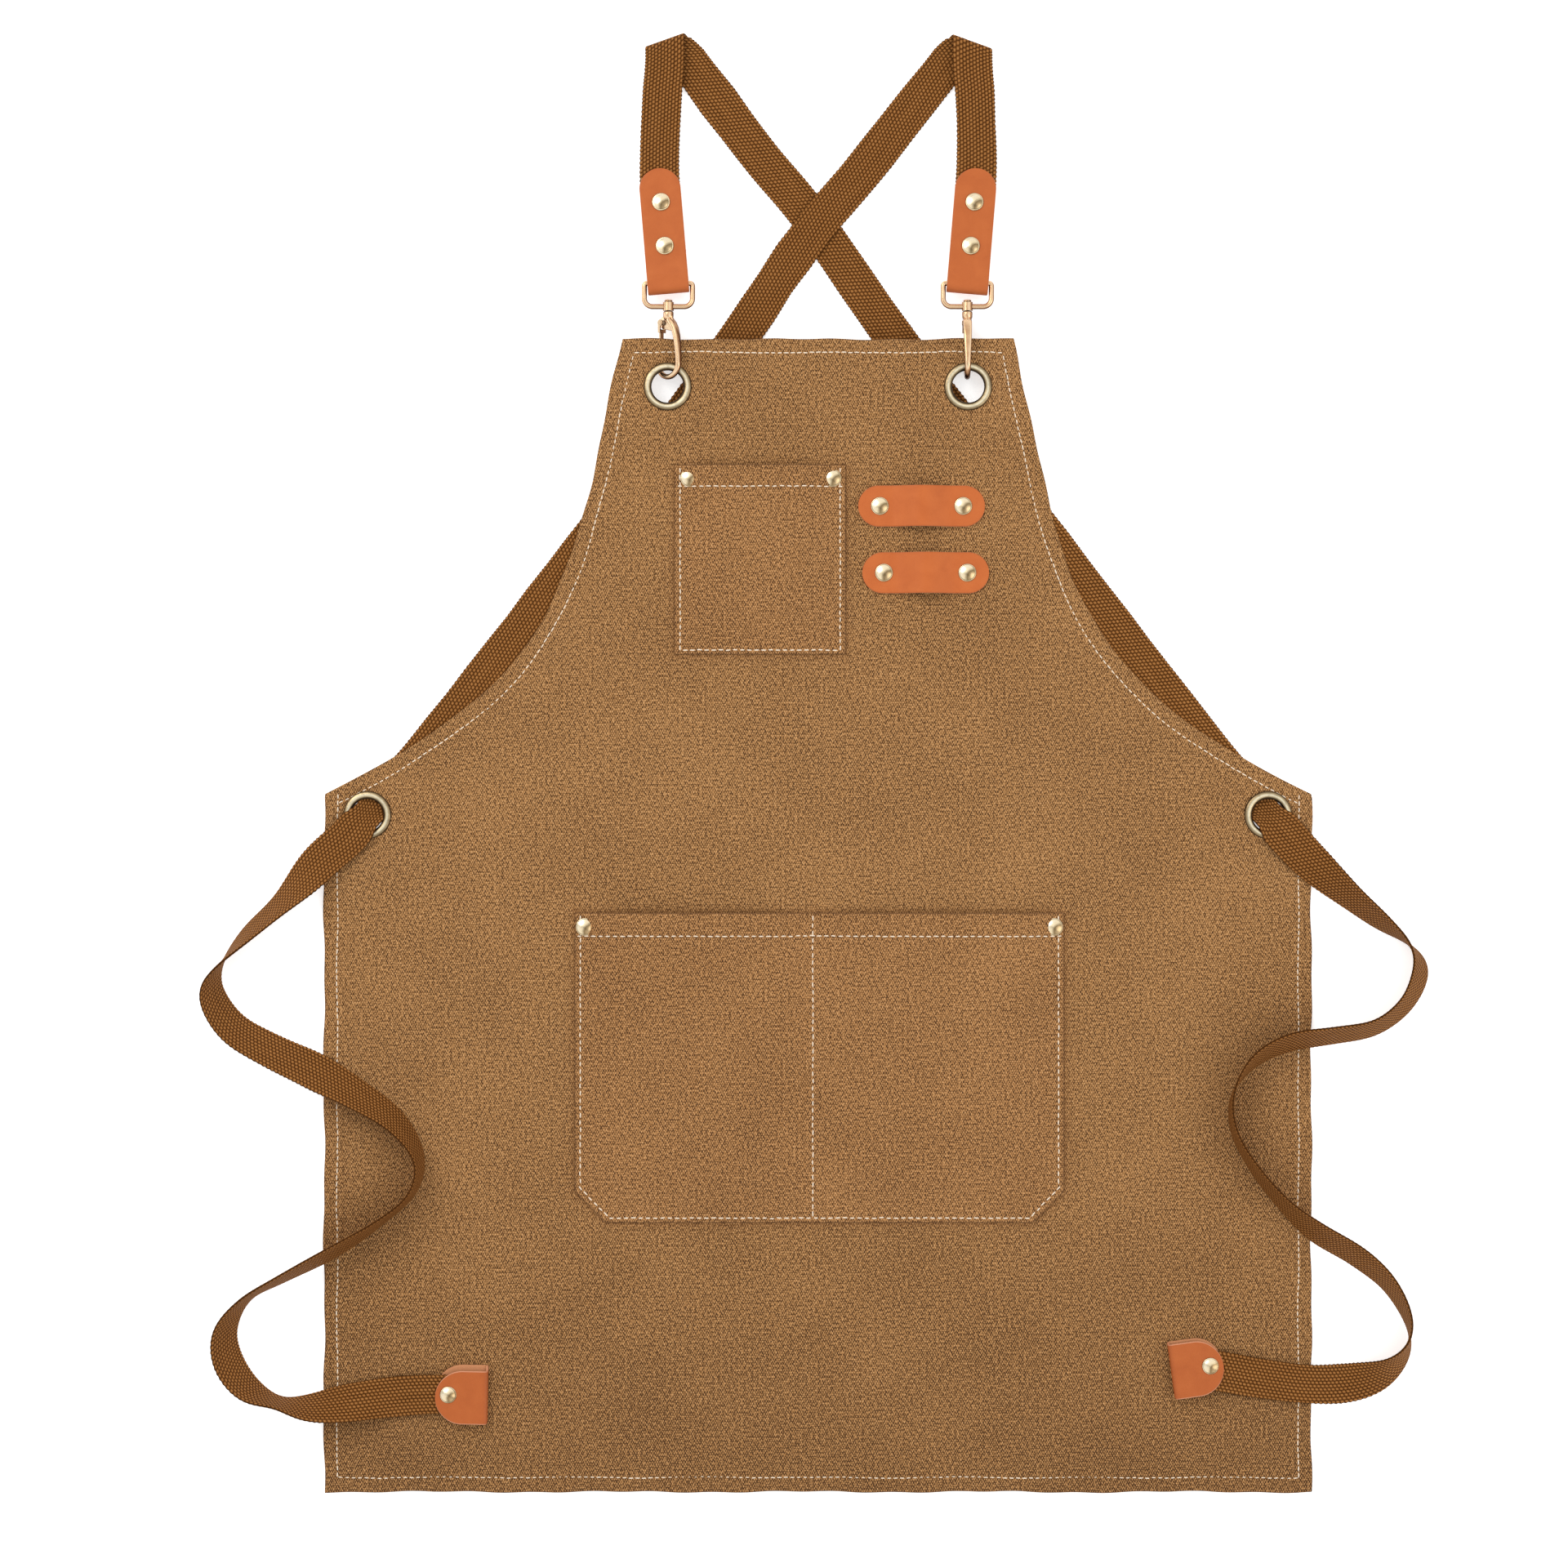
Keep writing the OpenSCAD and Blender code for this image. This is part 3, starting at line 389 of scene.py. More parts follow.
# each metal's stops are painted reflection and shade colours, from faces turned away to faces turned toward
# its set direction
GOLD = painted_light_metal("rivet_gold", [
    (0.0, (0.12, 0.08, 0.04)), (0.35, (0.52, 0.39, 0.21)), (0.62, (0.96, 0.84, 0.62)),
    (0.80, (0.95, 0.78, 0.50)), (0.90, (0.28, 0.19, 0.09)), (0.99, (0.60, 0.43, 0.23))],
    0.22, (0.42, -0.30, 0.857))
ROSE = painted_light_metal("rose_metal", [
    (0.0, (0.10, 0.045, 0.02)), (0.42, (0.20, 0.095, 0.045)), (0.68, (0.58, 0.32, 0.16)),
    (0.83, (0.98, 0.74, 0.49)), (0.92, (0.92, 0.63, 0.38)), (1.0, (0.55, 0.31, 0.16))],
    0.18, (-0.20, 0.24, 0.95))
PIN = painted_light_metal("pin_brass", [
    (0.0, (0.18, 0.10, 0.05)), (0.6, (0.62, 0.42, 0.24)), (1.0, (0.92, 0.72, 0.48))], 0.3)
STEEL = painted_light_metal("spring_steel", [
    (0.0, (0.16, 0.15, 0.14)), (0.6, (0.50, 0.49, 0.47)), (1.0, (0.80, 0.79, 0.77))], 0.3)
BRASS = eyelet_mat("eyelet_brass")
THREAD = thread_mat("thread")


# ---------------- meshes
def make(name, verts, faces, mat, body="apron", slot=None, uv=None, attrs=None):
    """A closed, smooth-shaded mesh; verts and the per-vertex uv in millimetres, attrs a value per vertex."""
    me = bpy.data.meshes.new(name)
    me.from_pydata((np.asarray(verts, float) * 0.001).tolist(), [], faces)
    me.validate()
    if uv is not None:
        layer = me.uv_layers.new(name="mm")
        loops = np.zeros(len(me.loops), np.int32)
        me.loops.foreach_get("vertex_index", loops)
        layer.data.foreach_set("uv", np.asarray(uv, np.float32)[loops].ravel())
    for k, v in (attrs or {}).items():
        a = me.attributes.new(k, "FLOAT", "POINT")
        a.data.foreach_set("value", np.asarray(v, np.float32).ravel())
    bm = bmesh.new()
    bm.from_mesh(me)
    bmesh.ops.remove_doubles(bm, verts=bm.verts, dist=2e-6)
    bmesh.ops.delete(bm, geom=[v for v in bm.verts if not v.link_faces], context="VERTS")
    bmesh.ops.recalc_face_normals(bm, faces=bm.faces)
    bm.to_mesh(me)
    bm.free()
    me.polygons.foreach_set("use_smooth", [True] * len(me.polygons))
    me.materials.append(mat)
    me.update()
    o = add_object(name, me)
    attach(o, body)
    slot or mat.name.split(".")[0]
    return o


def grid_faces(n, m, off=0, flip=False, wrap=False):
    i, j = np.meshgrid(np.arange(n - 1), np.arange(m if wrap else m - 1), indexing="ij")
    a = off + i * m + j
    b = off + i * m + (j + 1) % m
    f = np.stack([a, b, b + m, a + m], -1).reshape(-1, 4)
    return (f[:, ::-1] if flip else f).tolist()


def unit(v):
    return v / np.maximum(np.linalg.norm(v, axis=-1, keepdims=True), 1e-9)


def normals(P):
    return unit(np.cross(np.gradient(P, axis=1), np.gradient(P, axis=0)))


def run_of(p):
    """Length along a polyline at each of its points."""
    return np.concatenate([[0], np.cumsum(np.linalg.norm(np.diff(p, axis=0), axis=1))])


def interp_cols(q, s, a, **more):
    """The columns of a, known at s, read off at q."""
    return np.column_stack([np.interp(q, s, col, **more) for col in a.T])


def shell(name, P, D, T, mat, uv, r, keep, top=False, holes=(), attrs=(), **more):
    """A closed slab over a grid of points P. D is each point's distance from the rim, T the thickness.
    With top, P is the upper face; otherwise P is the middle. The rim is rounded over r, down to the
    share keep of the thickness."""
    n, m = P.shape[:2]
    N = normals(P)
    if top and N[..., 2].mean() < 0:
        N = -N
    T = np.broadcast_to(np.asarray(T, float), D.shape)
    q = 1 - np.clip(D / r, 0, 1)
    k = np.maximum(np.sqrt(np.maximum(1 - q * q, 0)), keep)[..., None]
    mid = P - N * T[..., None] / 2 if top else P
    A = mid + N * T[..., None] / 2 * k
    B = mid - N * T[..., None] / 2 * k
    verts = np.concatenate([A.reshape(-1, 3), B.reshape(-1, 3)])
    sign = np.cross(P[1, 0] - P[0, 0], P[0, 1] - P[0, 0]) @ N[0, 0] > 0
    faces = grid_faces(n, m, 0, not sign) + grid_faces(n, m, n * m, sign)
    rim = [i * m for i in range(n)] + [(n - 1) * m + j for j in range(1, m)]
    rim += [i * m + m - 1 for i in range(n - 2, -1, -1)] + [j for j in range(m - 2, 0, -1)]
    for a, b in zip(rim, rim[1:] + rim[:1]):
        f = [a, b, b + n * m, a + n * m]
        faces.append(f[::-1] if sign else f)
    if len(holes):
        C = mid.reshape(-1, 3)[:, :2]
        gone = np.zeros(len(C), bool)
        for x, y, rad in holes:
            gone |= (C[:, 0] - x) ** 2 + (C[:, 1] - y) ** 2 < rad * rad
        gone = np.concatenate([gone, gone])
        faces = [f for f in faces if not gone[f].any()]
        # walls down the holes
        upper = [f for f in faces if max(f) < n * m]
        edges = {(a, b) for f in upper for a, b in zip(f, f[1:] + f[:1])}
        rim = set(rim)
        faces += [[b, a, a + n * m, b + n * m] for a, b in edges
                  if (b, a) not in edges and not (a in rim and b in rim)]
    u = np.concatenate([uv.reshape(-1, 2)] * 2)
    values = {"edge": np.concatenate([D.ravel()] * 2), "back": np.repeat([0.0, 1.0], n * m)}
    values.update({key: np.concatenate([val.ravel()] * 2) for key, val in dict(attrs).items()})
    return make(name, verts, faces, mat, uv=u, attrs=values, **more)


def spaced(lo, hi, edge, step):
    """Positions from lo to hi: close ones at both ends at the offsets in edge, then every step."""
    edge = [e for e in edge if e < (hi - lo) / 2 - step * 0.3]
    inner = np.linspace(lo + edge[-1], hi - edge[-1], max(2, int(round((hi - lo - 2 * edge[-1]) / step)) + 1))
    return np.concatenate([lo + np.array(edge[:-1]), inner, hi - np.array(edge[:-1])[::-1]])


# columns close to the panel's rim: round edge, stitched line, inner edge of the hem
EDGE = [0, 0.35, 0.9, 1.8, 3.2, 5, 6.4, 7.2, SEAM_IN, 8.8, 9.8, 10.6, 11.4, 12.4, 14, 17]


# ---------------- straps
def route(rows):
    """Rows of x, y, lowest edge, tilt, rise of the edges, bearing, share of the width to a plain array."""
    xy = np.array([r[:2] for r in rows], float)
    h = unit(np.gradient(xy, axis=0))
    wd = np.stack([h[:, 1], -h[:, 0]], 1)
    for i, r in enumerate(rows):
        if len(r) > 5 and r[5] is not None:
            wd[i] = math.cos(math.radians(r[5])), math.sin(math.radians(r[5]))
    share = np.array([[r[6] if len(r) > 6 else 1.0] for r in rows])
    return np.hstack([np.array([r[:5] for r in rows], float), wd, share])


def catmull(a, per):
    """A smooth curve through the rows of a, with a row about every per mm."""
    out = []
    n = len(a)
    for i in range(n - 1):
        p0, p1, p2, p3 = a[max(0, i - 1)], a[i], a[i + 1], a[min(n - 1, i + 2)]
        k = max(2, int(math.ceil(np.linalg.norm(p2[:2] - p1[:2]) / per)))
        for t in np.arange(k) / k:
            out.append(0.5 * ((2 * p1) + (p2 - p0) * t + (2 * p0 - 5 * p1 + 4 * p2 - p3) * t * t
                              + (3 * p1 - p0 - 3 * p2 + p3) * t ** 3))
    return np.array(out + [a[-1]])


def tab_point(s, v):
    """The webbing's underside inside the leather tab, v mm up from the bar."""
    flat = v * math.cos(PITCH)
    return [s * (BAR[0] + flat * math.sin(LEAN)), BAR[1] + flat * math.cos(LEAN),
            BAR[2] - v * math.sin(PITCH) - WEB_T / 2]


def fold_rows(p, b, s):
    """A soft fold of radius 2.4 at p: over the top and back down, turned aside by b degrees."""
    r, rows = 2.4, []
    cb, sb = math.cos(math.radians(b)), math.sin(math.radians(b))
    for a in np.radians(range(0, 181, 9)):
        side, up = r * a * sb / cb, r * math.sin(a)
        rows.append([p[0] + s * (side * cb - up * sb), p[1] + side * sb + up * cb,
                     LOW + r * (1 + math.cos(a)), 0, 0, 180 + s * b])
    return rows


def top_rows(s, p, b, before, after):
    """The strap's upper end: inside its tab, up to the fold at p, and after it."""
    rows = [tab_point(s, v) + [0, 0, 180 - s * LEAN_DEG] for v in (22, 60)] + before
    return rows, fold_rows(p, b, -s), after


def through_eyelet(s):
    """From under the panel up through a waist eyelet and out over its ring, the sides squeezed and raised."""
    steps = ((-17, LOW, 0, 1), (-12, LOW, 0, 1), (-9, 0.15, 0.2, 0.97), (-6, 0.3, 1.4, 0.86),
             (-3, 0.9, 2.8, 0.78), (0, 2.3, 3.2, 0.77), (3, 3.9, 2.8, 0.78), (6, 5.2, 1.4, 0.88),
             (9, 5.8, 0.4, 0.97), (13, 5.9, 0, 1), (19, 5.6, 0, 1))
    return [[s * (WAIST_EYE[0] + 0.654 * d), WAIST_EYE[1] - 0.757 * d, low, 0, rise, None, share]
            for d, low, rise, share in steps]


LEFT_TOP = top_rows(
    -1, (-93, 477), 19.5,
    [[-96, 412, 3.6, 0, 0, 182], [-94.5, 445, 4.4, 0, 0, 180], [-93.4, 460, 4.8, 0, 0, 183],
     [-93, 470, 4.9, 0, 0, 190]],
    [[-81.5, 470, LOW, 0, 0, 205], [-76, 464, LOW, 0, 0, 213], [-61, 444, LOW, 0, 0, 218],
     [-34, 408.5, LOW, 0, 0], [-3, 371, LOW, 0, 0], [48, 298, LOW, 0, 0], [124, 198, LOW, 0, 0],
     [235, 54, LOW, 0, 0], [254, 32, LOW, 0, 0]] + through_eyelet(1))
RIGHT_TOP = top_rows(
    1, (94, 476), 20,
    [[96.5, 412, 3.6, 0, 0, 178], [95.5, 445, 4.4, 0, 0, 180], [94.4, 459, 4.8, 0, 0, 177],
     [94, 469, 4.9, 0, 0, 170]],
    [[82.5, 469.5, LOW, 0, 0, 154], [76.5, 463, LOW, 0, 0, 146], [58, 440, LOW, 0, 0, 141],
     [27, 400.5, 1, 0, 0], [2, 371, 1.9, 0, 0], [-21, 340, 1, 0, 0], [-48, 300, LOW, 0, 0],
     [-124, 196, LOW, 0, 0], [-234, 54, LOW, 0, 0], [-254, 32, LOW, 0, 0]] + through_eyelet(-1))
# the ties, from their waist eyelets to their ends: x, y, lowest edge, tilt
LEFT_TIE = [
    [-301, -18, 4.2, 8], [-324, -43, 0.3, 55], [-347, -64, 0.3, 68], [-363, -83, 0.3, 92],
    [-367, -99, 0.3, 122], [-355, -119, 0.3, 136], [-332, -133, 0.5, 143], [-306, -145, 3.6, 150],
    [-280, -159, 4, 134], [-255, -176, 4, 117], [-241, -198, 4, 100], [-245, -219, 4, 97],
    [-264, -236, 4, 100], [-292, -254, 4, 110], [-326, -272, 0.3, 104], [-347, -284, 0.3, 100],
    [-359, -303, 0.3, 118], [-357, -322, 0.3, 129], [-345, -338, 0.3, 120], [-327, -346, 0.3, 97],
    [-309, -349, 1.5, 122], [-289, -347, 4, 148], [-262, -344, 4.4, 176], [-238, -342, 5.65, 180],
    [-208, -342, 5.65, 180]]
RIGHT_TIE = [
    [300, -20, 4.2, 20], [320, -38, 0.3, 52], [342, -56, 0.3, 70], [358, -69, 0.3, 94],
    [365, -84, 0.3, 122], [357, -104, 0.3, 120], [338, -119, 0.3, 117], [312, -124, 0.5, 118],
    [285, -128, 4, 120], [264, -139, 4, 112], [251, -158, 4, 96], [251, -180, 4, 87], [263, -203, 4, 80],
    [282, -226, 4, 72], [302, -243, 3, 58], [327, -258, 0.3, 57], [346, -275, 0.3, 70],
    [357, -296, 0.3, 85], [357, -313, 0.3, 110], [346, -327, 0.3, 136], [326, -335, 0.4, 172],
    [298, -336, 4, 180], [266, -332, 4.4, 180], [250, -329, 5.65, 180], [224, -325, 5.65, 180]]


def strap_rows(top, tie):
    """The strap's middle line, its direction across, the rise of its edges and its share of the width."""
    before, fold, after = top
    rows = route(before + fold + after + [r + [0] for r in tie])
    nb, nf = len(before), len(fold)
    upper = catmull(rows[: nb + 1], 3.0)[:-1]
    bend = rows[nb : nb + nf - 1]
    r = np.vstack([upper, bend, catmull(rows[nb + nf - 1 :], 3.0)])
    tilt = np.radians(r[:, 3])
    wd = unit(r[:, 5:7])
    z = r[:, 2] + abs(np.sin(tilt)) * WEB_W / 2 + abs(np.cos(tilt)) * WEB_T / 2
    C = np.column_stack([r[:, 0], r[:, 1], z])
    W = np.column_stack([wd * np.cos(tilt)[:, None], -np.sin(tilt)])
    # light smoothing of the loose length only
    k = np.exp(-np.linspace(-2, 2, 9) ** 2)
    k /= k.sum()
    start = len(upper) + len(bend) + 30
    for arr in (C, W):
        pad = np.vstack([np.repeat(arr[:1], 4, 0), arr, np.repeat(arr[-1:], 4, 0)])
        arr[start:] = np.column_stack([np.convolve(col, k, "valid") for col in pad.T])[start:]
    return C, unit(W), r[:, 4:5], r[:, 7:8]


def even_rows(C, W, rise, share, pitch=1.25):
    """The same rows, spaced pitch apart."""
    s = run_of(C)
    q = []
    for a, b in zip(s[:-1], s[1:]):
        parts = max(1, round((b - a) / pitch))
        q += [a + (b - a) * k / parts for k in range(parts)]
    q = np.array(q + [s[-1]])
    return [q] + [interp_cols(q, s, a) for a in (C, W, rise, share)]


def strap(name, top, tie, seed):
    s, C, W, rise, share = even_rows(*strap_rows(top, tie))
    W = unit(W)
    t = unit(np.gradient(C, axis=0))
    rng = np.random.default_rng(seed)
    half, calm = WEB_W / 2, 10.8
    side = np.array([3, 6, 9, calm, 11.6, half])
    across = np.concatenate([-side[::-1], [0], side])
    X = np.cross(t, W)
    k = np.linalg.norm(X, axis=1, keepdims=True)
    N = X / k
    n, m = len(C), len(across)
    # selvedge loops and a slight wander of the width
    tooth = 0.26 * (-1.0) ** np.arange(n) * (np.gradient(s) > 0.8)
    wander = np.interp(s, np.arange(0, s[-1] + 20, 20), rng.normal(size=int(s[-1] / 20) + 2))
    wob = tooth + 0.2 * wander
    P = np.zeros((n, m, 3))
    for j, a in enumerate(across):
        u = a + wob * max(0, (abs(a) - calm) / (half - calm)) * np.sign(a)
        P[:, j] = C + W / k * u[:, None] * share - N * rise * (a / half) ** 2
    D = np.minimum(half - abs(across), np.minimum(s, s[-1] - s)[:, None])
    uv = np.stack(np.broadcast_arrays(across[None, :] + half, s[:, None]), -1)
    o = shell(name.replace("strap", "webbing"), P, D, WEB_T, WEB, uv, r=0.7, keep=0.3)
    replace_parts(o, name)
    return o, C, s


STRAPS = {"left_strap": strap("left_strap", LEFT_TOP, RIGHT_TIE, 3),
          "right_strap": strap("right_strap", RIGHT_TOP, LEFT_TIE, 4)}

# ---------------- the cloth's own surface
ARM_T = np.linspace(0, 1, 400)[:, None]
ARM_P = ((1 - ARM_T) ** 3 * ARM[0] + 3 * (1 - ARM_T) ** 2 * ARM_T * ARM[1]
         + 3 * (1 - ARM_T) * ARM_T ** 2 * ARM[2] + ARM_T ** 3 * ARM[3])


def edge_x(y):
    """Half width of the panel at height y."""
    return np.interp(y, ARM_P[::-1, 1], ARM_P[::-1, 0], left=HALF_W)


def edge_distance(x, y):
    """Distance in from the nearest rim of the panel."""
    x = abs(x)
    d = np.minimum(np.minimum(HALF_W - x, y - HEM_Y), BIB_Y - y)
    near = (y > WAIST_Y - 40) & (d > -1)
    pts = np.column_stack([x[near], y[near]])
    best = np.full(len(pts), 1e9)
    for p in ARM_P[::4]:
        best = np.minimum(best, (pts[:, 0] - p[0]) ** 2 + (pts[:, 1] - p[1]) ** 2)
    d = d.copy()
    d[near] = np.minimum(d[near], np.sqrt(best))
    return np.maximum(d, 0)


# the turned hem stands up, its stitched line is pulled down
HEM_UP, SEAM_DOWN = 0.55, 0.42
WAVES = [(RNG.uniform(-1, 1), RNG.uniform(-1, 1), RNG.uniform(70, 230), RNG.uniform(0, 6.28))
         for _ in range(16)]


def ripple(x, y):
    """Soft unevenness, 0 to -1."""
    a = np.zeros_like(x)
    for kx, ky, w, ph in WAVES:
        q = math.hypot(kx, ky)
        a = a + np.sin(2 * np.pi * (kx * x + ky * y) / (q * w) + ph)
    return -smooth(0.5 + a / 9)


LOOPS = {"upper": (63, 197), "lower": (65.5, 156.5)}
LOOP_RIVET = 25.3
FLAT_SPOTS = [(s * x, y, 24) for x, y in (BIB_EYE, WAIST_EYE) for s in (-1, 1)]
FLAT_SPOTS += [(x + s * LOOP_RIVET, y, 12) for x, y in LOOPS.values() for s in (-1, 1)]
LIFT_Y = 212


def cloth_z(x, y):
    """Upper face of the canvas."""
    lift = LIFT * smooth((y - LIFT_Y) / 44)
    side = 1 - 0.45 * np.exp(-((x / 38) ** 2)) - 0.25 * smooth((abs(x) - 107) / 12)
    calm = np.ones_like(x)
    for cx, cy, r in FLAT_SPOTS:
        calm = calm * smooth((np.hypot(x - cx, y - cy) - r * 0.7) / r)
    for (cx, top, w, h), still in ((BIB_POCKET, 0.9), (WAIST_POCKET, 0.85)):
        out = np.maximum(abs(x - cx) - w / 2, np.maximum(y - top, top - h - y))
        calm = calm * (1 - still * smooth((8 - out) / 8))
    return FACE + lift * np.where(y > LIFT_Y, side, 1) + 1.15 * ripple(x, y) * calm


def pocket_shadow_mask(x, y, cx, top, w, h, chamfer=0):
    """Where the painted contact shadow of the pockets falls: 1 close outside a pocket's sides and foot and
    above its mouth, fading over a few millimetres.
    """
    beyond = abs(x - cx) - w / 2
    d = np.maximum(beyond, top - h - y)
    if chamfer:
        d = np.maximum(d, (beyond + top - h + chamfer - y) * 0.7071)
    side = np.exp(-np.clip(d, 0, 99) / 2.2) * (y < top + 1)
    mouth = np.exp(-np.clip(y - top, 0, 99) / 1.8) * (beyond < 0)
    return np.where(d > -1.5, side, 0) + np.where(y > top, mouth, 0)


def under_cut(x, y, z, T):
    """Thins the turned hem to lie above any strap that runs close under it."""
    reach, strap_top, least = 15, 2.1, 0.7
    ways = np.vstack([C[(C[:, 2] < 2.6) & (C[:, 1] < BIB_Y + 7)] for _, C, _ in STRAPS.values()])
    near = np.zeros(x.shape, bool)
    for i, j in np.argwhere((T > 1.2) & (y > -30)):
        near[i, j] = (np.hypot(ways[:, 0] - x[i, j], ways[:, 1] - y[i, j]) < reach).any()
    return np.where(near, np.minimum(T, np.maximum(z - strap_top, least)), T)


def rim_drop(x, y, d):
    """How far the slope to the table and the puckers lower the cloth, d mm in from the rim."""
    run = np.where(abs(x) > HALF_W - 14, y, x)
    pucker = 0.5 + 0.5 * np.sin(run * 0.31 + 1.7 * np.sin(run * 0.083))
    slope = 1.1 * smooth((34 - d) / 34) * np.where(y < LIFT_Y + 3, 1, 0.3)
    return slope + 0.32 * pucker * smooth((15 - d) / 15) * smooth(d / 4)


# ---------------- canvas panel
def panel():
    ys = spaced(HEM_Y, BIB_Y, EDGE, 2.4)
    half = edge_x(ys)
    slope = np.gradient(half, ys)
    f = np.sqrt(1 + slope ** 2)
    f = np.convolve(np.pad(f, 6, "edge"), np.ones(13) / 13, "valid")
    inner = np.linspace(-1, 1, 171)
    rows = []
    for h, k in zip(half, f):
        e = np.array(EDGE) * k
        rows.append(np.concatenate([-h + e[:-1], inner * (h - e[-1]), h - e[:-1][::-1]]))
    X = np.array(rows)
    Y = np.broadcast_to(ys[:, None], X.shape)
    D = edge_distance(X.ravel(), Y.ravel()).reshape(X.shape)
    # rim: turned hem a little proud, the stitched line pulled in, edge rolled down to the table
    hem = smooth((HEM + 1.2 - D) / 1.8)
    seam = np.exp(-(((D - SEAM_IN) / 1.3) ** 2))
    Z = cloth_z(X, Y) - rim_drop(X, Y, D) + HEM_UP * hem - SEAM_DOWN * seam
    # small wander of the outline
    wx = 0.45 * np.sin(Y * 0.061 + 1) + 0.3 * np.sin(Y * 0.157)
    wy = 0.4 * np.sin(X * 0.055 + 2) + 0.3 * np.sin(X * 0.171)
    rim = smooth((20 - D) / 20)
    PX = X + wx * rim * smooth((abs(X) - 60) / 60)
    PY = Y + wy * rim * np.where((Y < HEM_Y + 24) | (Y > BIB_Y - 24), 1, 0)
    P = np.stack([PX, PY, Z], -1)
    T = CANVAS_T + 1.5 * (D < HEM)
    T = np.minimum(T, np.where(Y < LIFT_Y + 3, Z - 0.05, 9))
    T = under_cut(PX, PY, Z, T)
    # room for the hooks' gates under the bib's hem
    over_hook = (Y > BIB_Y - 18) & (abs(abs(X) - BIB_EYE[0]) < 15)
    T = np.where(over_hook, np.clip(Z - 8.6, CANVAS_T, T), T)
    # painted contact shadow of the pockets, handed to the canvas material as the attribute near
    near = np.maximum(pocket_shadow_mask(PX, PY, *BIB_POCKET), pocket_shadow_mask(PX, PY, *WAIST_POCKET, CHAMFER))
    holes = [(s * x, y, EYE_BORE + 0.55) for x, y in (BIB_EYE, WAIST_EYE) for s in (-1, 1)]
    o = shell("canvas_panel", P, D, T, CANVAS, np.stack([X, Y], -1), r=0.8, keep=0.3, top=True,
              holes=holes, attrs={"near": near})
    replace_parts(o, "apron_panel")
    return o


PANEL = panel()


# ---------------- pockets
def puff(a, edge, full):
    return smooth((a - edge) / full)


def pocket(name, node, at, rise, seams=(), chamfer=0.0, hem=13.0):
    """A patch crowned by rise mm between its seams, with a turned hem along its mouth."""
    cx, top, w, h = at
    xs = spaced(-w / 2, w / 2, [0, 0.3, 0.8, 1.6, 2.6, 3.4, 4.4, 6, 8.5, 12], 2.2)
    ys = spaced(-h, 0, [0, 0.3, 0.8, 1.6, 2.4, 3.2, 4.4, 6, 8, 10.5, 12, 12.8, 13.6, 14.6, 17], 2.2)
    X, Y = np.meshgrid(xs, ys)
    half = np.full_like(Y, w / 2)
    if chamfer:
        half = w / 2 - np.clip(chamfer - (Y + h), 0, chamfer) * 0.95
        X = X * half / (w / 2)
    D = np.minimum(half - abs(X), Y + h)
    if chamfer:
        D = np.minimum(D, ((w / 2 - abs(X)) + (Y + h) - chamfer) * 0.7071 + 0.01)
    D = np.maximum(D, 0)
    D_rim = np.minimum(D, -Y)
    gap = D.copy()
    for sx in seams:
        gap = np.minimum(gap, abs(X - sx) + 1.2)
    body = rise * puff(gap, 4.0, 26) * (0.62 + 0.38 * smooth((Y + h) / h))
    body = body + 0.6 * np.exp(-((Y + 6) / 9) ** 2) * puff(gap, 6, 22)
    fold = 0.35 * np.sin((X * 0.09 + Y * 0.05) + 1.3 * np.sin(Y * 0.045 + X * 0.02)) * puff(gap, 4, 14)
    seam = np.exp(-(((gap - 3.2) / 0.9) ** 2)) * 0.35
    band = 0.5 * smooth((hem + 0.9 + Y) / 1.5) - 0.38 * np.exp(-((Y + hem) / 1.0) ** 2)
    rub = 0.22 * np.sin(Y * 0.5 + 0.8 * np.sin(Y * 0.21)) * np.exp(-((gap - 3) / 4) ** 2)
    Z = cloth_z(X + cx, Y + top) + CANVAS_T + 0.05 + body + fold - seam + band * puff(gap, 2, 6) + rub
    P = np.stack([X + cx, Y + top, Z], -1)
    T = CANVAS_T + 1.2 * (Y > -hem) * puff(gap, 4, 6)
    uv = np.stack([X + 11.3, Y + 5.7], -1)
    o = shell(name, P, D_rim, T, POCKET, uv, r=0.8, keep=0.35, top=True)
    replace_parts(o, node)
    return X + cx, Y + top, Z


DIVIDE = -4
BIB_SURF = pocket("bib_pocket_cloth", "bib_pocket", BIB_POCKET, 2.6)
WAIST_SURF = pocket("waist_pocket_cloth", "waist_pocket", WAIST_POCKET, 3.6, (DIVIDE,), CHAMFER, 14)


def on_grid(surf, x, y):
    """Height of a pocket's face at scattered points."""
    X, Y, Z = surf
    ys = Y[:, 0]
    i = np.clip(np.searchsorted(ys, y) - 1, 0, len(ys) - 2)
    t = (y - ys[i]) / (ys[i + 1] - ys[i])
    out = np.zeros_like(x)
    for k in range(len(x)):
        a = np.interp(x[k], X[i[k]], Z[i[k]])
        b = np.interp(x[k], X[i[k] + 1], Z[i[k] + 1])
        out[k] = a + (b - a) * t[k]
    return out


# ---------------- stitches
def resample(path, pitch):
    """Even places along a path and the path's direction there."""
    p = np.array(path, float)
    s = run_of(p)
    n = int(s[-1] / pitch)
    q = (np.arange(n) + 0.5) * s[-1] / n
    return interp_cols(q, s, p), unit(interp_cols(q + 0.1, s, p) - interp_cols(q - 0.1, s, p))


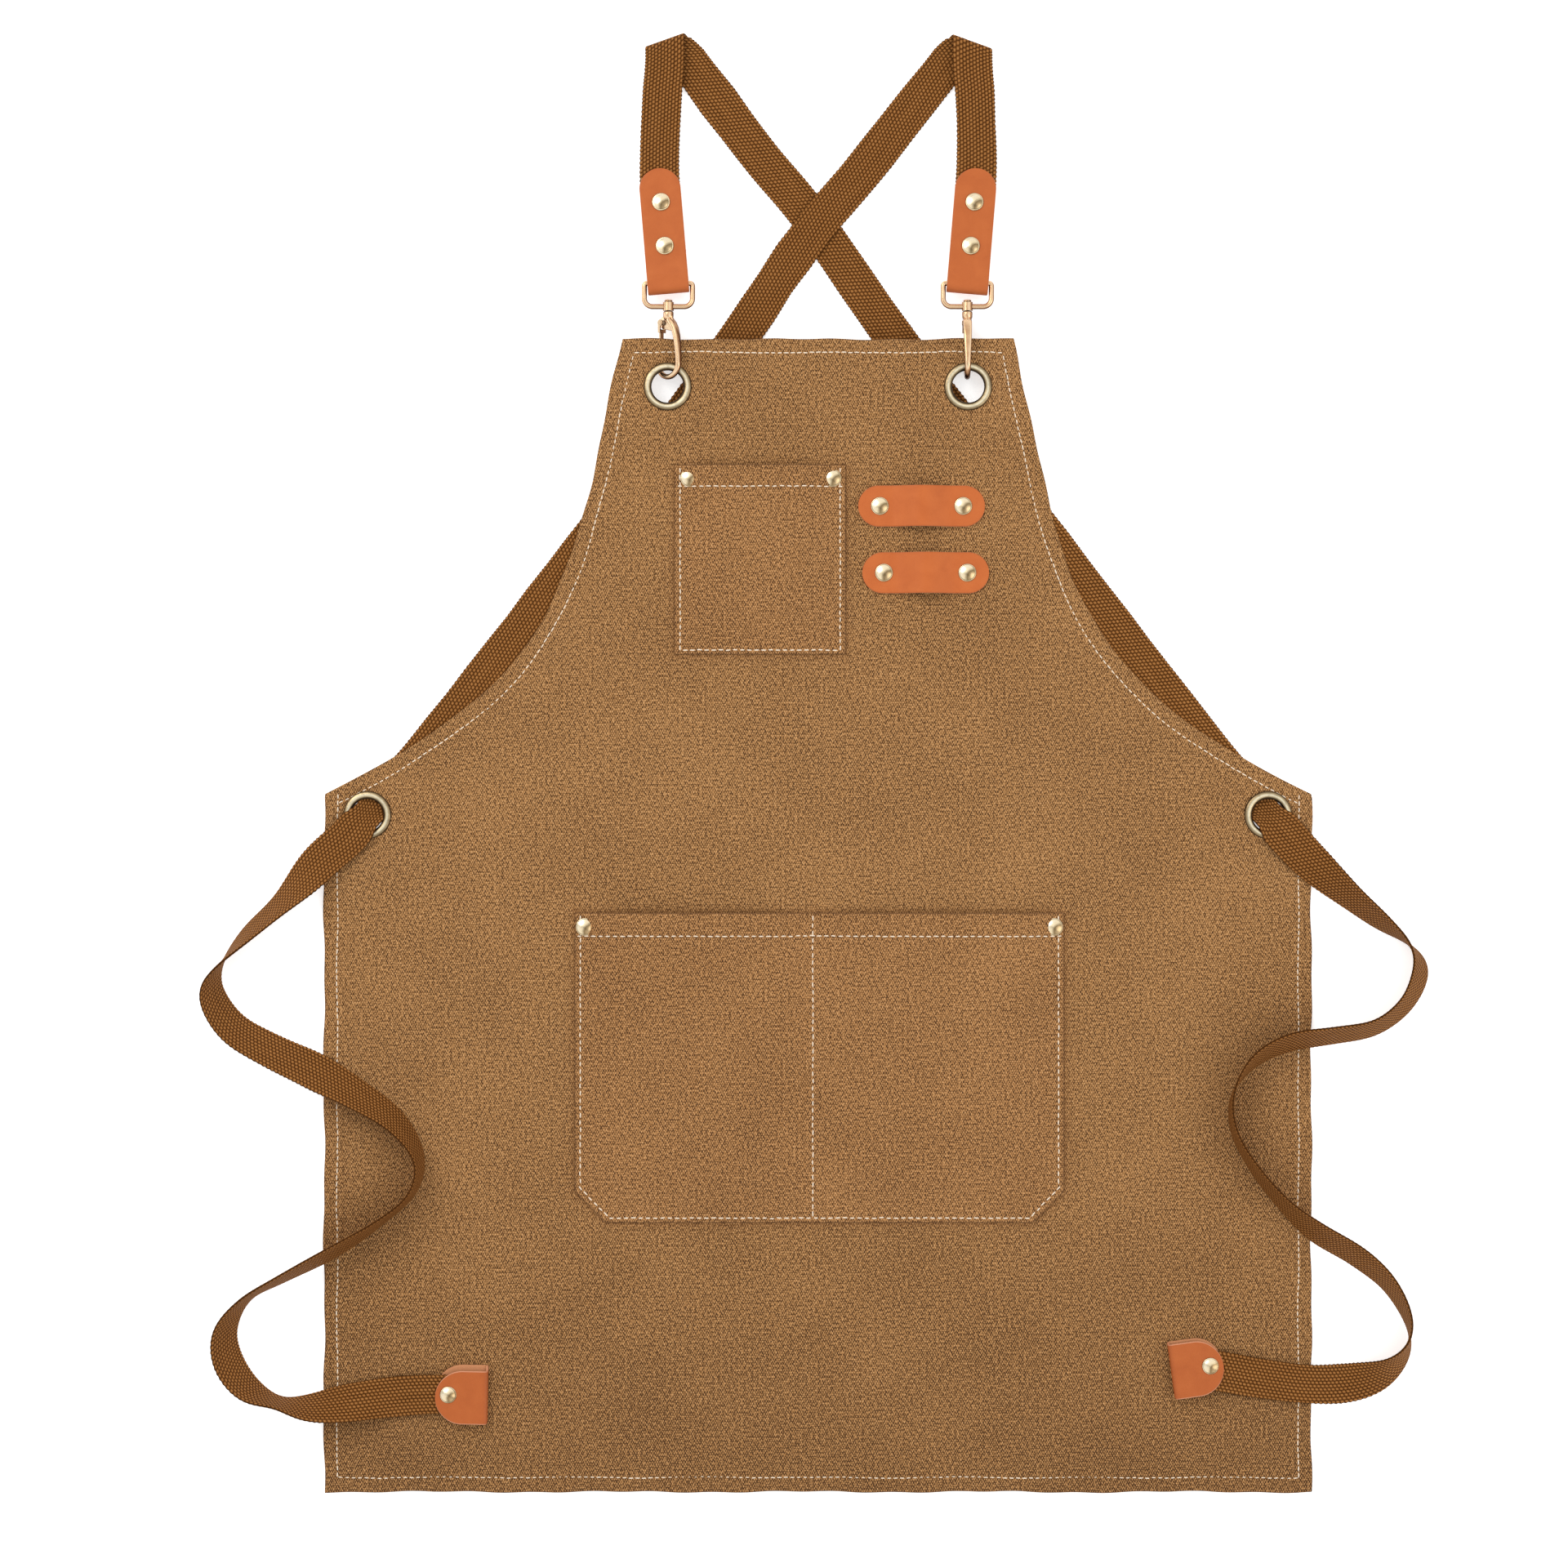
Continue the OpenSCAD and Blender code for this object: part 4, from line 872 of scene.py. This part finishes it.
def stitches(name, node, paths, height, pitch, long, r):
    """Rows of separate stitches: short arched beads that dip into the cloth at both ends."""
    V, F, U = [], [], []
    rings, sides = 6, 6
    for path in paths:
        c, d = resample(path, pitch)
        z = height(c[:, 0], c[:, 1])
        for i in range(len(c)):
            L = long / 2 * RNG.uniform(0.88, 1.1)
            turn = RNG.normal(0, 0.05)
            dx = np.array([d[i, 0] - d[i, 1] * turn, d[i, 1] + d[i, 0] * turn])
            nx = np.array([-dx[1], dx[0]])
            off = RNG.normal(0, 0.10)
            base = len(V) * rings * sides
            ring = []
            for t in np.linspace(-1, 1, rings):
                rr = r * (0.45 + 0.55 * math.sqrt(max(0, 1 - t * t)))
                up = 0.16 - 0.42 * t * t
                for a in np.arange(sides) * 2 * math.pi / sides:
                    g = off + rr * math.cos(a)
                    ring.append([*(c[i] + dx * t * L + nx * g), z[i] + up + rr * 0.8 * math.sin(a)])
                    U.append([t * L, a])
            V.append(np.array(ring))
            F += grid_faces(rings, sides, base, wrap=True)
            F.append(list(range(base, base + sides))[::-1])
            F.append(list(range(base + (rings - 1) * sides, base + rings * sides)))
    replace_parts(make(name, np.concatenate(V), F, THREAD, uv=U), node)


def rim_z(x, y):
    """Height of the hem's stitched line."""
    return cloth_z(x, y) - rim_drop(x, y, SEAM_IN) + HEM_UP - SEAM_DOWN


def wandering(p):
    return p + 0.35 * np.column_stack([np.sin(p[:, 1] * 0.09), np.sin(p[:, 0] * 0.08 + 1)])


def hem_paths():
    """The stitched line along both armholes, both sides, the top and the foot."""
    t = unit(np.gradient(ARM_P, axis=0))
    inset = ARM_P + (SEAM_IN + 0.6) * np.column_stack([t[:, 1], -t[:, 0]])
    arm = inset[(inset[:, 1] < BIB_Y - SEAM_IN - 0.6) & (inset[:, 0] < HALF_W - SEAM_IN - 0.2)]
    x, y = HALF_W - SEAM_IN, BIB_Y - SEAM_IN - 0.2
    side = np.column_stack([np.full(80, x), np.linspace(WAIST_Y + 0.5, HEM_Y + SEAM_IN + 0.6, 80)])
    end = float(np.interp(y, inset[::-1, 1], inset[::-1, 0]))
    top = np.column_stack([np.linspace(-end, end, 60), np.full(60, y)])
    foot = np.column_stack([np.linspace(-x, x, 120), np.full(120, HEM_Y + SEAM_IN + 1)])
    flip = np.array([-1, 1])
    return [wandering(p) for p in (arm, arm * flip, side, side * flip, top, foot)]


stitches("hem_stitches", "hem_thread", hem_paths(), rim_z, 3.9, 3.6, 0.40)


def line(*pts):
    """Points about 4 mm apart along straight runs through pts."""
    out = []
    for a, b in zip(pts[:-1], pts[1:]):
        n = max(2, int(math.dist(a, b) / 4))
        out += [[a[0] + (b[0] - a[0]) * t, a[1] + (b[1] - a[1]) * t]
                for t in np.linspace(0, 1, n, endpoint=False)]
    out.append(list(pts[-1]))
    return np.array(out)


BIB_LINES = [
    line((-83.6, 221), (-83.6, 109.6), (13.6, 109.6), (13.6, 221)),
    line((-86, 209), (16, 209))]
WAIST_LINES = [
    line((-144.2, -51), (-144.2, -217), (-126.5, -235.2), (128.5, -235.2), (146.2, -217), (146.2, -51)),
    line((-147, -64), (149, -64)),
    line((DIVIDE + 1, -51), (DIVIDE + 1, -235))]
stitches("bib_pocket_stitches", "bib_pocket_thread", BIB_LINES, lambda x, y: on_grid(BIB_SURF, x, y),
         4.3, 3.4, 0.42)
stitches("waist_pocket_stitches", "waist_pocket_thread", WAIST_LINES, lambda x, y: on_grid(WAIST_SURF, x, y),
         4.4, 3.4, 0.42)


# ---------------- turned metal
def lathe(profile, n):
    """Revolves (r, z) points about Z in n steps; returns verts, faces and uv."""
    p = np.array(profile, float)
    a = np.arange(n) * 2 * math.pi / n
    V = np.stack([np.outer(p[:, 0], np.cos(a)), np.outer(p[:, 0], np.sin(a)), np.repeat(p[:, 1:2], n, 1)], -1)
    uv = np.stack(np.broadcast_arrays(a[None] * 10, run_of(p)[:, None]), -1)
    closed = p[0, 0] > 1e-6 and np.allclose(p[0], p[-1])
    if closed:
        V, uv = V[:-1], uv[:-1]
    faces = grid_faces(len(V), n, 0, False, wrap=True)
    if closed:
        k = (len(V) - 1) * n
        faces += [[k + j, k + (j + 1) % n, (j + 1) % n, j] for j in range(n)]
    return V.reshape(-1, 3), faces, uv.reshape(-1, 2)


def turned(name, node, profile, spots, mat, n=48, rot=None, dent=0.0):
    """The same turned part at each of the spots, its face slightly dented; ring says how far out it is."""
    v, f, u = lathe(profile, n)
    rad = np.hypot(v[:, 0], v[:, 1])
    ring = np.clip((rad - EYE_BORE) / (EYE_R - EYE_BORE), 0, 1)
    v[:, 2] += dent * np.sin(3 * np.arctan2(v[:, 1], v[:, 0])) * rad / 6
    V, F = [], []
    for k, at in enumerate(spots):
        V.append((v if rot is None else v @ np.array(rot.to_3x3()).T) + np.array(at))
        F += [[i + k * len(v) for i in face] for face in f]
    o = make(name, np.concatenate(V), F, mat, uv=np.tile(u, (len(spots), 1)),
             attrs={"ring": np.tile(ring, len(spots))})
    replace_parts(o, node)
    return o


def eyelet_profile():
    """Domed flange rolled into the barrel and curled over the washer behind; z from the cloth's back."""
    p = [(10.55, -0.72), (11.5, -0.75), (11.55, -1.2), (10.4, -1.25), (9.95, -1.0), (9.78, -0.4),
         (EYE_BORE, 0.4), (9.78, 1.2)]
    for a in np.linspace(180, 0, 15):
        p.append((12.125 + 2.34 * math.cos(math.radians(a)), 1.12 + 1.35 * math.sin(math.radians(a)) ** 0.8))
    return p + [(EYE_R, 1.02), (14.1, 1.0), (10.6, 0.98), (10.55, 0.4), (10.55, -0.72)]


UNDER = FACE - CANVAS_T
for part, (x, y), z in (("bib", BIB_EYE, UNDER + LIFT), ("waist", WAIST_EYE, UNDER)):
    for side, s in SIDES:
        nm = part + "_eyelet_" + side
        turned(nm + "_ring", nm, eyelet_profile(), [(s * x, y, z)], BRASS, n=96, dent=0.04)


def rivet_profile(shank, r=5.4, h=1.7):
    """Cap of radius r with a small rim and a domed crown h high, on a short shank."""
    rr = (r * r + h * h) / (2 * h)
    p = [(0.0, -shank), (1.5, -shank), (1.5, 0.0), (r - 0.25, 0.02), (r, 0.14), (r, 0.34), (r - 0.22, 0.5),
         (r - 0.5, 0.52)]
    for x in np.linspace(r - 0.7, 0, 12):
        p.append((x, h - rr + math.sqrt(rr * rr - x * x) + 0.06 * (1 - x / r)))
    p[-1] = (0.0, p[-1][1])
    return p


ON_CLOTH = FACE + CANVAS_T
RIVETS = {
    "bib_pocket": ([(-78, 214, ON_CLOTH), (9, 214, ON_CLOTH)], 2.0),
    "waist_pocket": ([(-141.5, -58.5, ON_CLOTH), (143.5, -58.5, ON_CLOTH)], 2.0)}
for part, (x, y) in LOOPS.items():
    RIVETS[part + "_loop"] = [(x + s * LOOP_RIVET, y, FACE + LEATHER_T) for s in (-1, 1)], 2.6
for part, (spots, shank) in RIVETS.items():
    turned(part + "_rivet", part + "_rivet_caps", rivet_profile(shank), spots, GOLD)


def tab_matrix(s):
    return (Matrix.Translation((s * BAR[0], BAR[1], BAR[2])) @ Matrix.Rotation(-s * LEAN, 4, "Z")
            @ Matrix.Rotation(-PITCH, 4, "X"))


def moved(mx, V):
    m = np.array(mx)
    return V @ m[:3, :3].T + m[:3, 3]


TAB_RIVETS = (25.5, 52.5)
for nm, s in SIDES:
    mx = tab_matrix(s)
    spots = [tuple(mx @ Matrix.Translation((0, v, 2.4)).to_translation()) for v in TAB_RIVETS]
    turned(nm + "_tab_rivets", nm + "_tab_rivet_caps", rivet_profile(4.8), spots, GOLD, rot=mx)


# ---------------- leather
def strip_half(s, length, w, radius):
    """Half width along a strip whose ends are rounded over radius."""
    h = np.full_like(s, w)
    for e in (s, length - s):
        q = np.clip(1 - e / radius, 0, 1)
        h = np.minimum(h, w * np.sqrt(np.maximum(1 - q * q, 0)) + 0.02)
    return h


def leather(name, node, path, length, w, radius, mx, mat=LEATHER, fine=(), dips=(), slide=0.0, bend=()):
    """A strip of hide, half width w: path maps distance along it to x, z of its middle in its own plane.
    It has extra rows at fine, sinks at the dips and is darker at the bends; its leaves lie slide apart."""
    ends = [0, 0.15, 0.4, 0.8, 1.4, 2.2, 3.2, 4.5, 6, 8, 10]
    s = np.unique(np.concatenate([spaced(0, length, ends, 1.6), fine]))
    h = strip_half(s, length, w, radius)
    side = np.array([0, 0.012, 0.035, 0.07, 0.12])
    u = np.concatenate([side - 1, np.linspace(-0.8, 0.8, 13), 1 - side[::-1]])
    Y = u[None, :] * h[:, None]
    S = np.broadcast_to(s[:, None], Y.shape)
    x, z = path(s)
    P = np.stack([np.broadcast_to(x[:, None], Y.shape), Y, np.broadcast_to(z[:, None], Y.shape)], -1)
    D = h[:, None] - abs(Y)
    for a, dip in dips:
        P = P - normals(P) * (dip * np.exp(-((np.hypot(S - a, Y) / 7.0) ** 2)))[..., None]
    if slide:
        P[..., 1] += slide * (smooth((1.2 - P[..., 2]) / 1.8) - 0.5)
    P = moved(mx, P.reshape(-1, 3)).reshape(P.shape)
    uv = np.stack([Y + 40 + RNG.uniform(0, 300), S + RNG.uniform(0, 300)], -1)
    fold_dark = sum((np.exp(-(((S - a) / wide) ** 2)) for a, wide in bend), np.zeros_like(S))
    o = shell(name, P, D, LEATHER_T, mat, uv, slot="leather", r=0.55, keep=0.35, attrs={"bend": fold_dark})
    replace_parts(o, node)
    return o


LOOP_LEN, LOOP_RISE, LOOP_HALF = 77.0, 6.0, 20


def arch(s):
    """Middle line of a tool loop: flat at both rivets, raised between them."""
    x = LOOP_LEN / 2 - s
    z = np.where(abs(x) < LOOP_HALF, LOOP_RISE * (1 + np.cos(np.pi * x / LOOP_HALF)) / 2, 0.0) + LEATHER_T / 2
    return x, z


for part, (x, y) in LOOPS.items():
    leather(part + "_loop_leather", part + "_tool_loop", arch, LOOP_LEN, TAB_HALF_W, TAB_HALF_W,
            Matrix.Translation((x, y, FACE)), LOOP_LEATHER)


def polyline_path(pts):
    """A function from distance along pts to x, z, and their whole length."""
    p = np.array(pts, float)
    q = run_of(p)
    return (lambda s: (np.interp(s, q, p[:, 0]), np.interp(s, q, p[:, 1]))), q[-1]


TAB_FAR = 73.4


def tab_path():
    """Middle line of the folded strip: along the top, round the bar, back underneath."""
    flat, round_bar = 1.6, 2.8
    top = [(TAB_FAR - k, flat) for k in np.linspace(0, TAB_FAR - 18, 26)]
    top += [(18 - 12 * k, flat + (round_bar - flat) * float(smooth(k))) for k in np.linspace(0, 1, 12)]
    top += [(x, round_bar) for x in (4, 2)]
    turn = [(round_bar * math.cos(a), round_bar * math.sin(a)) for a in np.radians(np.linspace(90, 270, 19))]
    return top + turn + [(x, -z) for x, z in top[::-1]]


TAB_PATH, TAB_LEN = polyline_path(tab_path())
for nm, s in SIDES:
    mx = tab_matrix(s) @ Matrix.Rotation(math.pi / 2, 4, "Z")
    leather(nm + "_strap_leather", nm + "_strap_tab", TAB_PATH, TAB_LEN, TAB_HALF_W, TAB_HALF_W, mx,
            fine=np.linspace(TAB_LEN / 2 - 9, TAB_LEN / 2 + 9, 33),
            dips=[(TAB_FAR - v, 0.25) for v in TAB_RIVETS], bend=[(TAB_LEN / 2, 3.0)])


def end_path():
    """Middle line of an end tab: lower leaf, round the end, upper leaf."""
    g = 1.6
    low = [(x, -g) for x in np.linspace(-16, 13.4, 24)]
    turn = [(13.6 + g * math.cos(a), g * math.sin(a)) for a in np.radians(np.linspace(-80, 80, 15))]
    return low + turn + [(x, g) for x in np.linspace(13.4, -16, 24)]


END_PATH, END_LEN = polyline_path(end_path())
END_Z = FACE + 0.1 + 1.5 * LEATHER_T
for nm, at, turn, slide, wide in (("left", (-216, -342, END_Z), -1, 3.4, 16.2),
                                  ("right", (230, -325.5, END_Z), 188, -1.4, 16.8)):
    mx = Matrix.Translation(at) @ Matrix.Rotation(math.radians(turn), 4, "Z")
    tab = leather(nm + "_tie_leather", nm + "_end_tab", END_PATH, END_LEN, wide, 16.5, mx, END_LEATHER,
                  fine=np.linspace(END_LEN / 2 - 5, END_LEN / 2 + 5, 25), slide=slide,
                  bend=[(END_LEN / 2, 2.0)])
    spot = tuple(mx @ Matrix.Translation((-8, 0, 2.4)).to_translation())
    cap = turned(nm + "_tie_rivet", nm + "_end_rivet", rivet_profile(4.5, 5.0), [spot], GOLD)

# ---------------- swivel hooks
FOOT_Y, HOOK_TURNS = 317.4, {"left": 50, "right": 0}


def hull(pts):
    """Convex outline, anticlockwise."""
    pts = sorted(map(tuple, pts))
    out = []
    for run in (pts, pts[::-1]):
        part = []
        for p in run:
            while len(part) > 1 and np.cross(np.subtract(part[-1], part[-2]), np.subtract(p, part[-2])) <= 0:
                part.pop()
            part.append(p)
        out += part[:-1]
    return np.array(out)


def disc(y, z, r, n=40):
    a = np.arange(n) * 2 * math.pi / n
    return [(y + r * math.cos(k), z + r * math.sin(k)) for k in a]


def loft(rings):
    """Closed skin over equal rings of points."""
    m = len(rings[0])
    F = grid_faces(len(rings), m, wrap=True)
    last = (len(rings) - 1) * m
    return np.concatenate(rings), F + [list(range(m))[::-1], list(range(last, last + m))]


def spine():
    """The hook's tapering flat spine, running into the round bend and its nose: in its own plane y, z."""
    path = [(-6.6, 0.2), (-8.2, 1.6), (-10.5, 3.6), (-13.5, 5.3), (-18, 6.6), (-24, 7.5), (-30, 7.95)]
    path += [(-34.5 - 8 * math.sin(math.radians(a)), 8 * math.cos(math.radians(a))) for a in range(0, 181, 9)]
    path += [(-33.9, -8.0), (-33.3, -8.0)]
    p = np.array(path)
    d = unit(np.gradient(p, axis=0))
    s = run_of(p)
    at = [0, 4, 14, 26, 34, s[-1] - 2, s[-1] - 0.8, s[-1]]
    wide = np.interp(s, at, [2.3, 2.7, 2.45, 2.0, 1.75, 1.7, 1.5, 0.7])
    deep = np.interp(s, at, [1.5, 1.7, 1.6, 1.65, 1.75, 1.7, 1.5, 0.7])
    square = np.interp(s, [0, 20, 34], [0.5, 0.6, 1.0])
    a = np.arange(28) * 2 * math.pi / 28
    rings = []
    for q, t, w, h, e in zip(p, d, wide, deep, square):
        c, g = np.cos(a), np.sin(a)
        x = w * np.sign(c) * abs(c) ** e
        k = h * np.sign(g) * abs(g) ** e
        rings.append(np.stack([x, q[0] - t[1] * k, q[1] + t[0] * k], -1))
    return loft(rings)


def plate():
    """The cheek that carries the gate's pin, its edges eased."""
    rings = []
    a = np.linspace(-math.pi, math.pi, 60, endpoint=False)
    for x, inset in ((-0.8, 0.35), (-0.72, 0.1), (-0.5, 0.0), (0.5, 0.0), (0.72, 0.1), (0.8, 0.35)):
        o = hull(disc(-9.5, -2.5, 4.1 - inset) + disc(-6.8, 0.8, 2.6 - inset)
                 + disc(-14.0, 4.4, 1.2 - inset / 2))
        turn = np.arctan2(o[:, 1] + 1, o[:, 0] + 9.5)
        k = np.argsort(turn)
        o = interp_cols(a, turn[k], o[k], period=2 * math.pi)
        rings.append(np.column_stack([np.full(len(o), x), o]))
    return loft(rings)


def stud():
    """Head, neck and collar about the swivel's axis."""
    head = [(0, 4.15), (1.7, 4.15), (2.3, 3.9), (2.5, 3.5), (2.4, 3.05), (1.5, 2.85)]
    collar = [(1.5, -2.85), (2.6, -2.95), (3.1, -3.4), (3.2, -4.2), (3.1, -6.4), (2.7, -7.6), (1.9, -8.3),
              (0, -8.5)]
    v, f, _ = lathe((head + collar)[::-1], 40)
    return np.column_stack([v[:, 0], v[:, 2], -v[:, 1]]), f


def hook(side, s):
    """One hook at rest: foot, bend, cheek and stud in one piece."""
    V, F = np.zeros((0, 3)), []
    for v, f in (spine(), plate(), stud()):
        F += [[i + len(V) for i in face] for face in f]
        V = np.concatenate([V, v])
    turn = Matrix.Rotation(math.radians(HOOK_TURNS[side]), 4, "Y")
    V = moved(Matrix.Translation((s * BAR[0], FOOT_Y, BAR[2])) @ turn, V)
    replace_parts(make(side + "_snap_hook", V, F, ROSE, body=side + "_clip"), side + "_hook")


for nm, s in SIDES:
    hook(nm, s)

# ---------------- carried-over metal
NODE_MATS = {
    "washer": BRASS, "rivet": GOLD, "gate_pin": PIN, "gate_spring": STEEL, "gate": ROSE, "loop": ROSE}
for name, o in frame["nodes"].items():
    if not o.hide_render:
        o.data.materials.clear()
        o.data.materials.append(next(m for k, m in NODE_MATS.items() if k in name))

# ---------------- points along each strap's middle line and the armholes' cut-away area, both computed and left unused
for nm, (o, C, s) in STRAPS.items():
    [tuple(p) for p in C[::3] * 0.001]
cut_away = 2 * float(np.sum((HALF_W - (ARM_P[1:, 0] + ARM_P[:-1, 0]) / 2) * -np.diff(ARM_P[:, 1])))

# ---------------- floor and light
def floor_mat():
    M = Mat("floor")
    col = M.ramp(M.noise(M.coord(), 3.0, 2), [(0.3, (0.90, 0.90, 0.895)), (0.7, (0.93, 0.93, 0.925))])
    return M.out(col, 0.9, Specular_IOR_Level=0.1, Emission_Color=(1, 1, 1, 1), Emission_Strength=0.5)


def floor(half=3.0, z=-0.0004):
    me = bpy.data.meshes.new("floor")
    corners = [(x * half, y * half, z) for x, y in ((-1, -1), (1, -1), (1, 1), (-1, 1))]
    me.from_pydata(corners, [], [(0, 1, 2, 3)])
    me.materials.append(floor_mat())
    add_object("floor", me)


def area_light(name, loc, power, color, size=1.6):
    d = bpy.data.lights.new(name, "AREA")
    d.shape = "RECTANGLE"
    d.size = d.size_y = size
    d.energy = power
    d.color = color
    o = add_object(name, d)
    o.location = loc
    o.rotation_mode = "QUATERNION"
    o.rotation_quaternion = (-Vector(loc)).to_track_quat("-Z", "Y")


def room():
    """An even pale room with one dark band, which gives the polished metal something to mirror."""
    world = SCENE.world or bpy.data.worlds.new("world")
    SCENE.world = world
    world.use_nodes = True
    N = Nodes(world.node_tree)
    y = N.split(N.scaled(N.coord("Generated"), (1, 1, 1), (0, 0, math.radians(28))))[1]
    band = [(at, (c, c, c)) for at, c in ((0.0, 1.0), (0.31, 1.0), (0.41, 0.35), (0.51, 1.0), (1.0, 1.0))]
    back = N.t.nodes["Background"]
    N.put(back.inputs[0], N.ramp(N.mad(y, 0.5, 0.5), band))
    back.inputs[1].default_value = 0.95


floor()
area_light("key", (-1.4, 1.3, 1.9), 26, (1.0, 0.99, 0.97))
area_light("fill", (1.7, -0.6, 1.5), 12, (0.97, 0.98, 1.0))
room()
SCENE.view_settings.view_transform = "Standard"
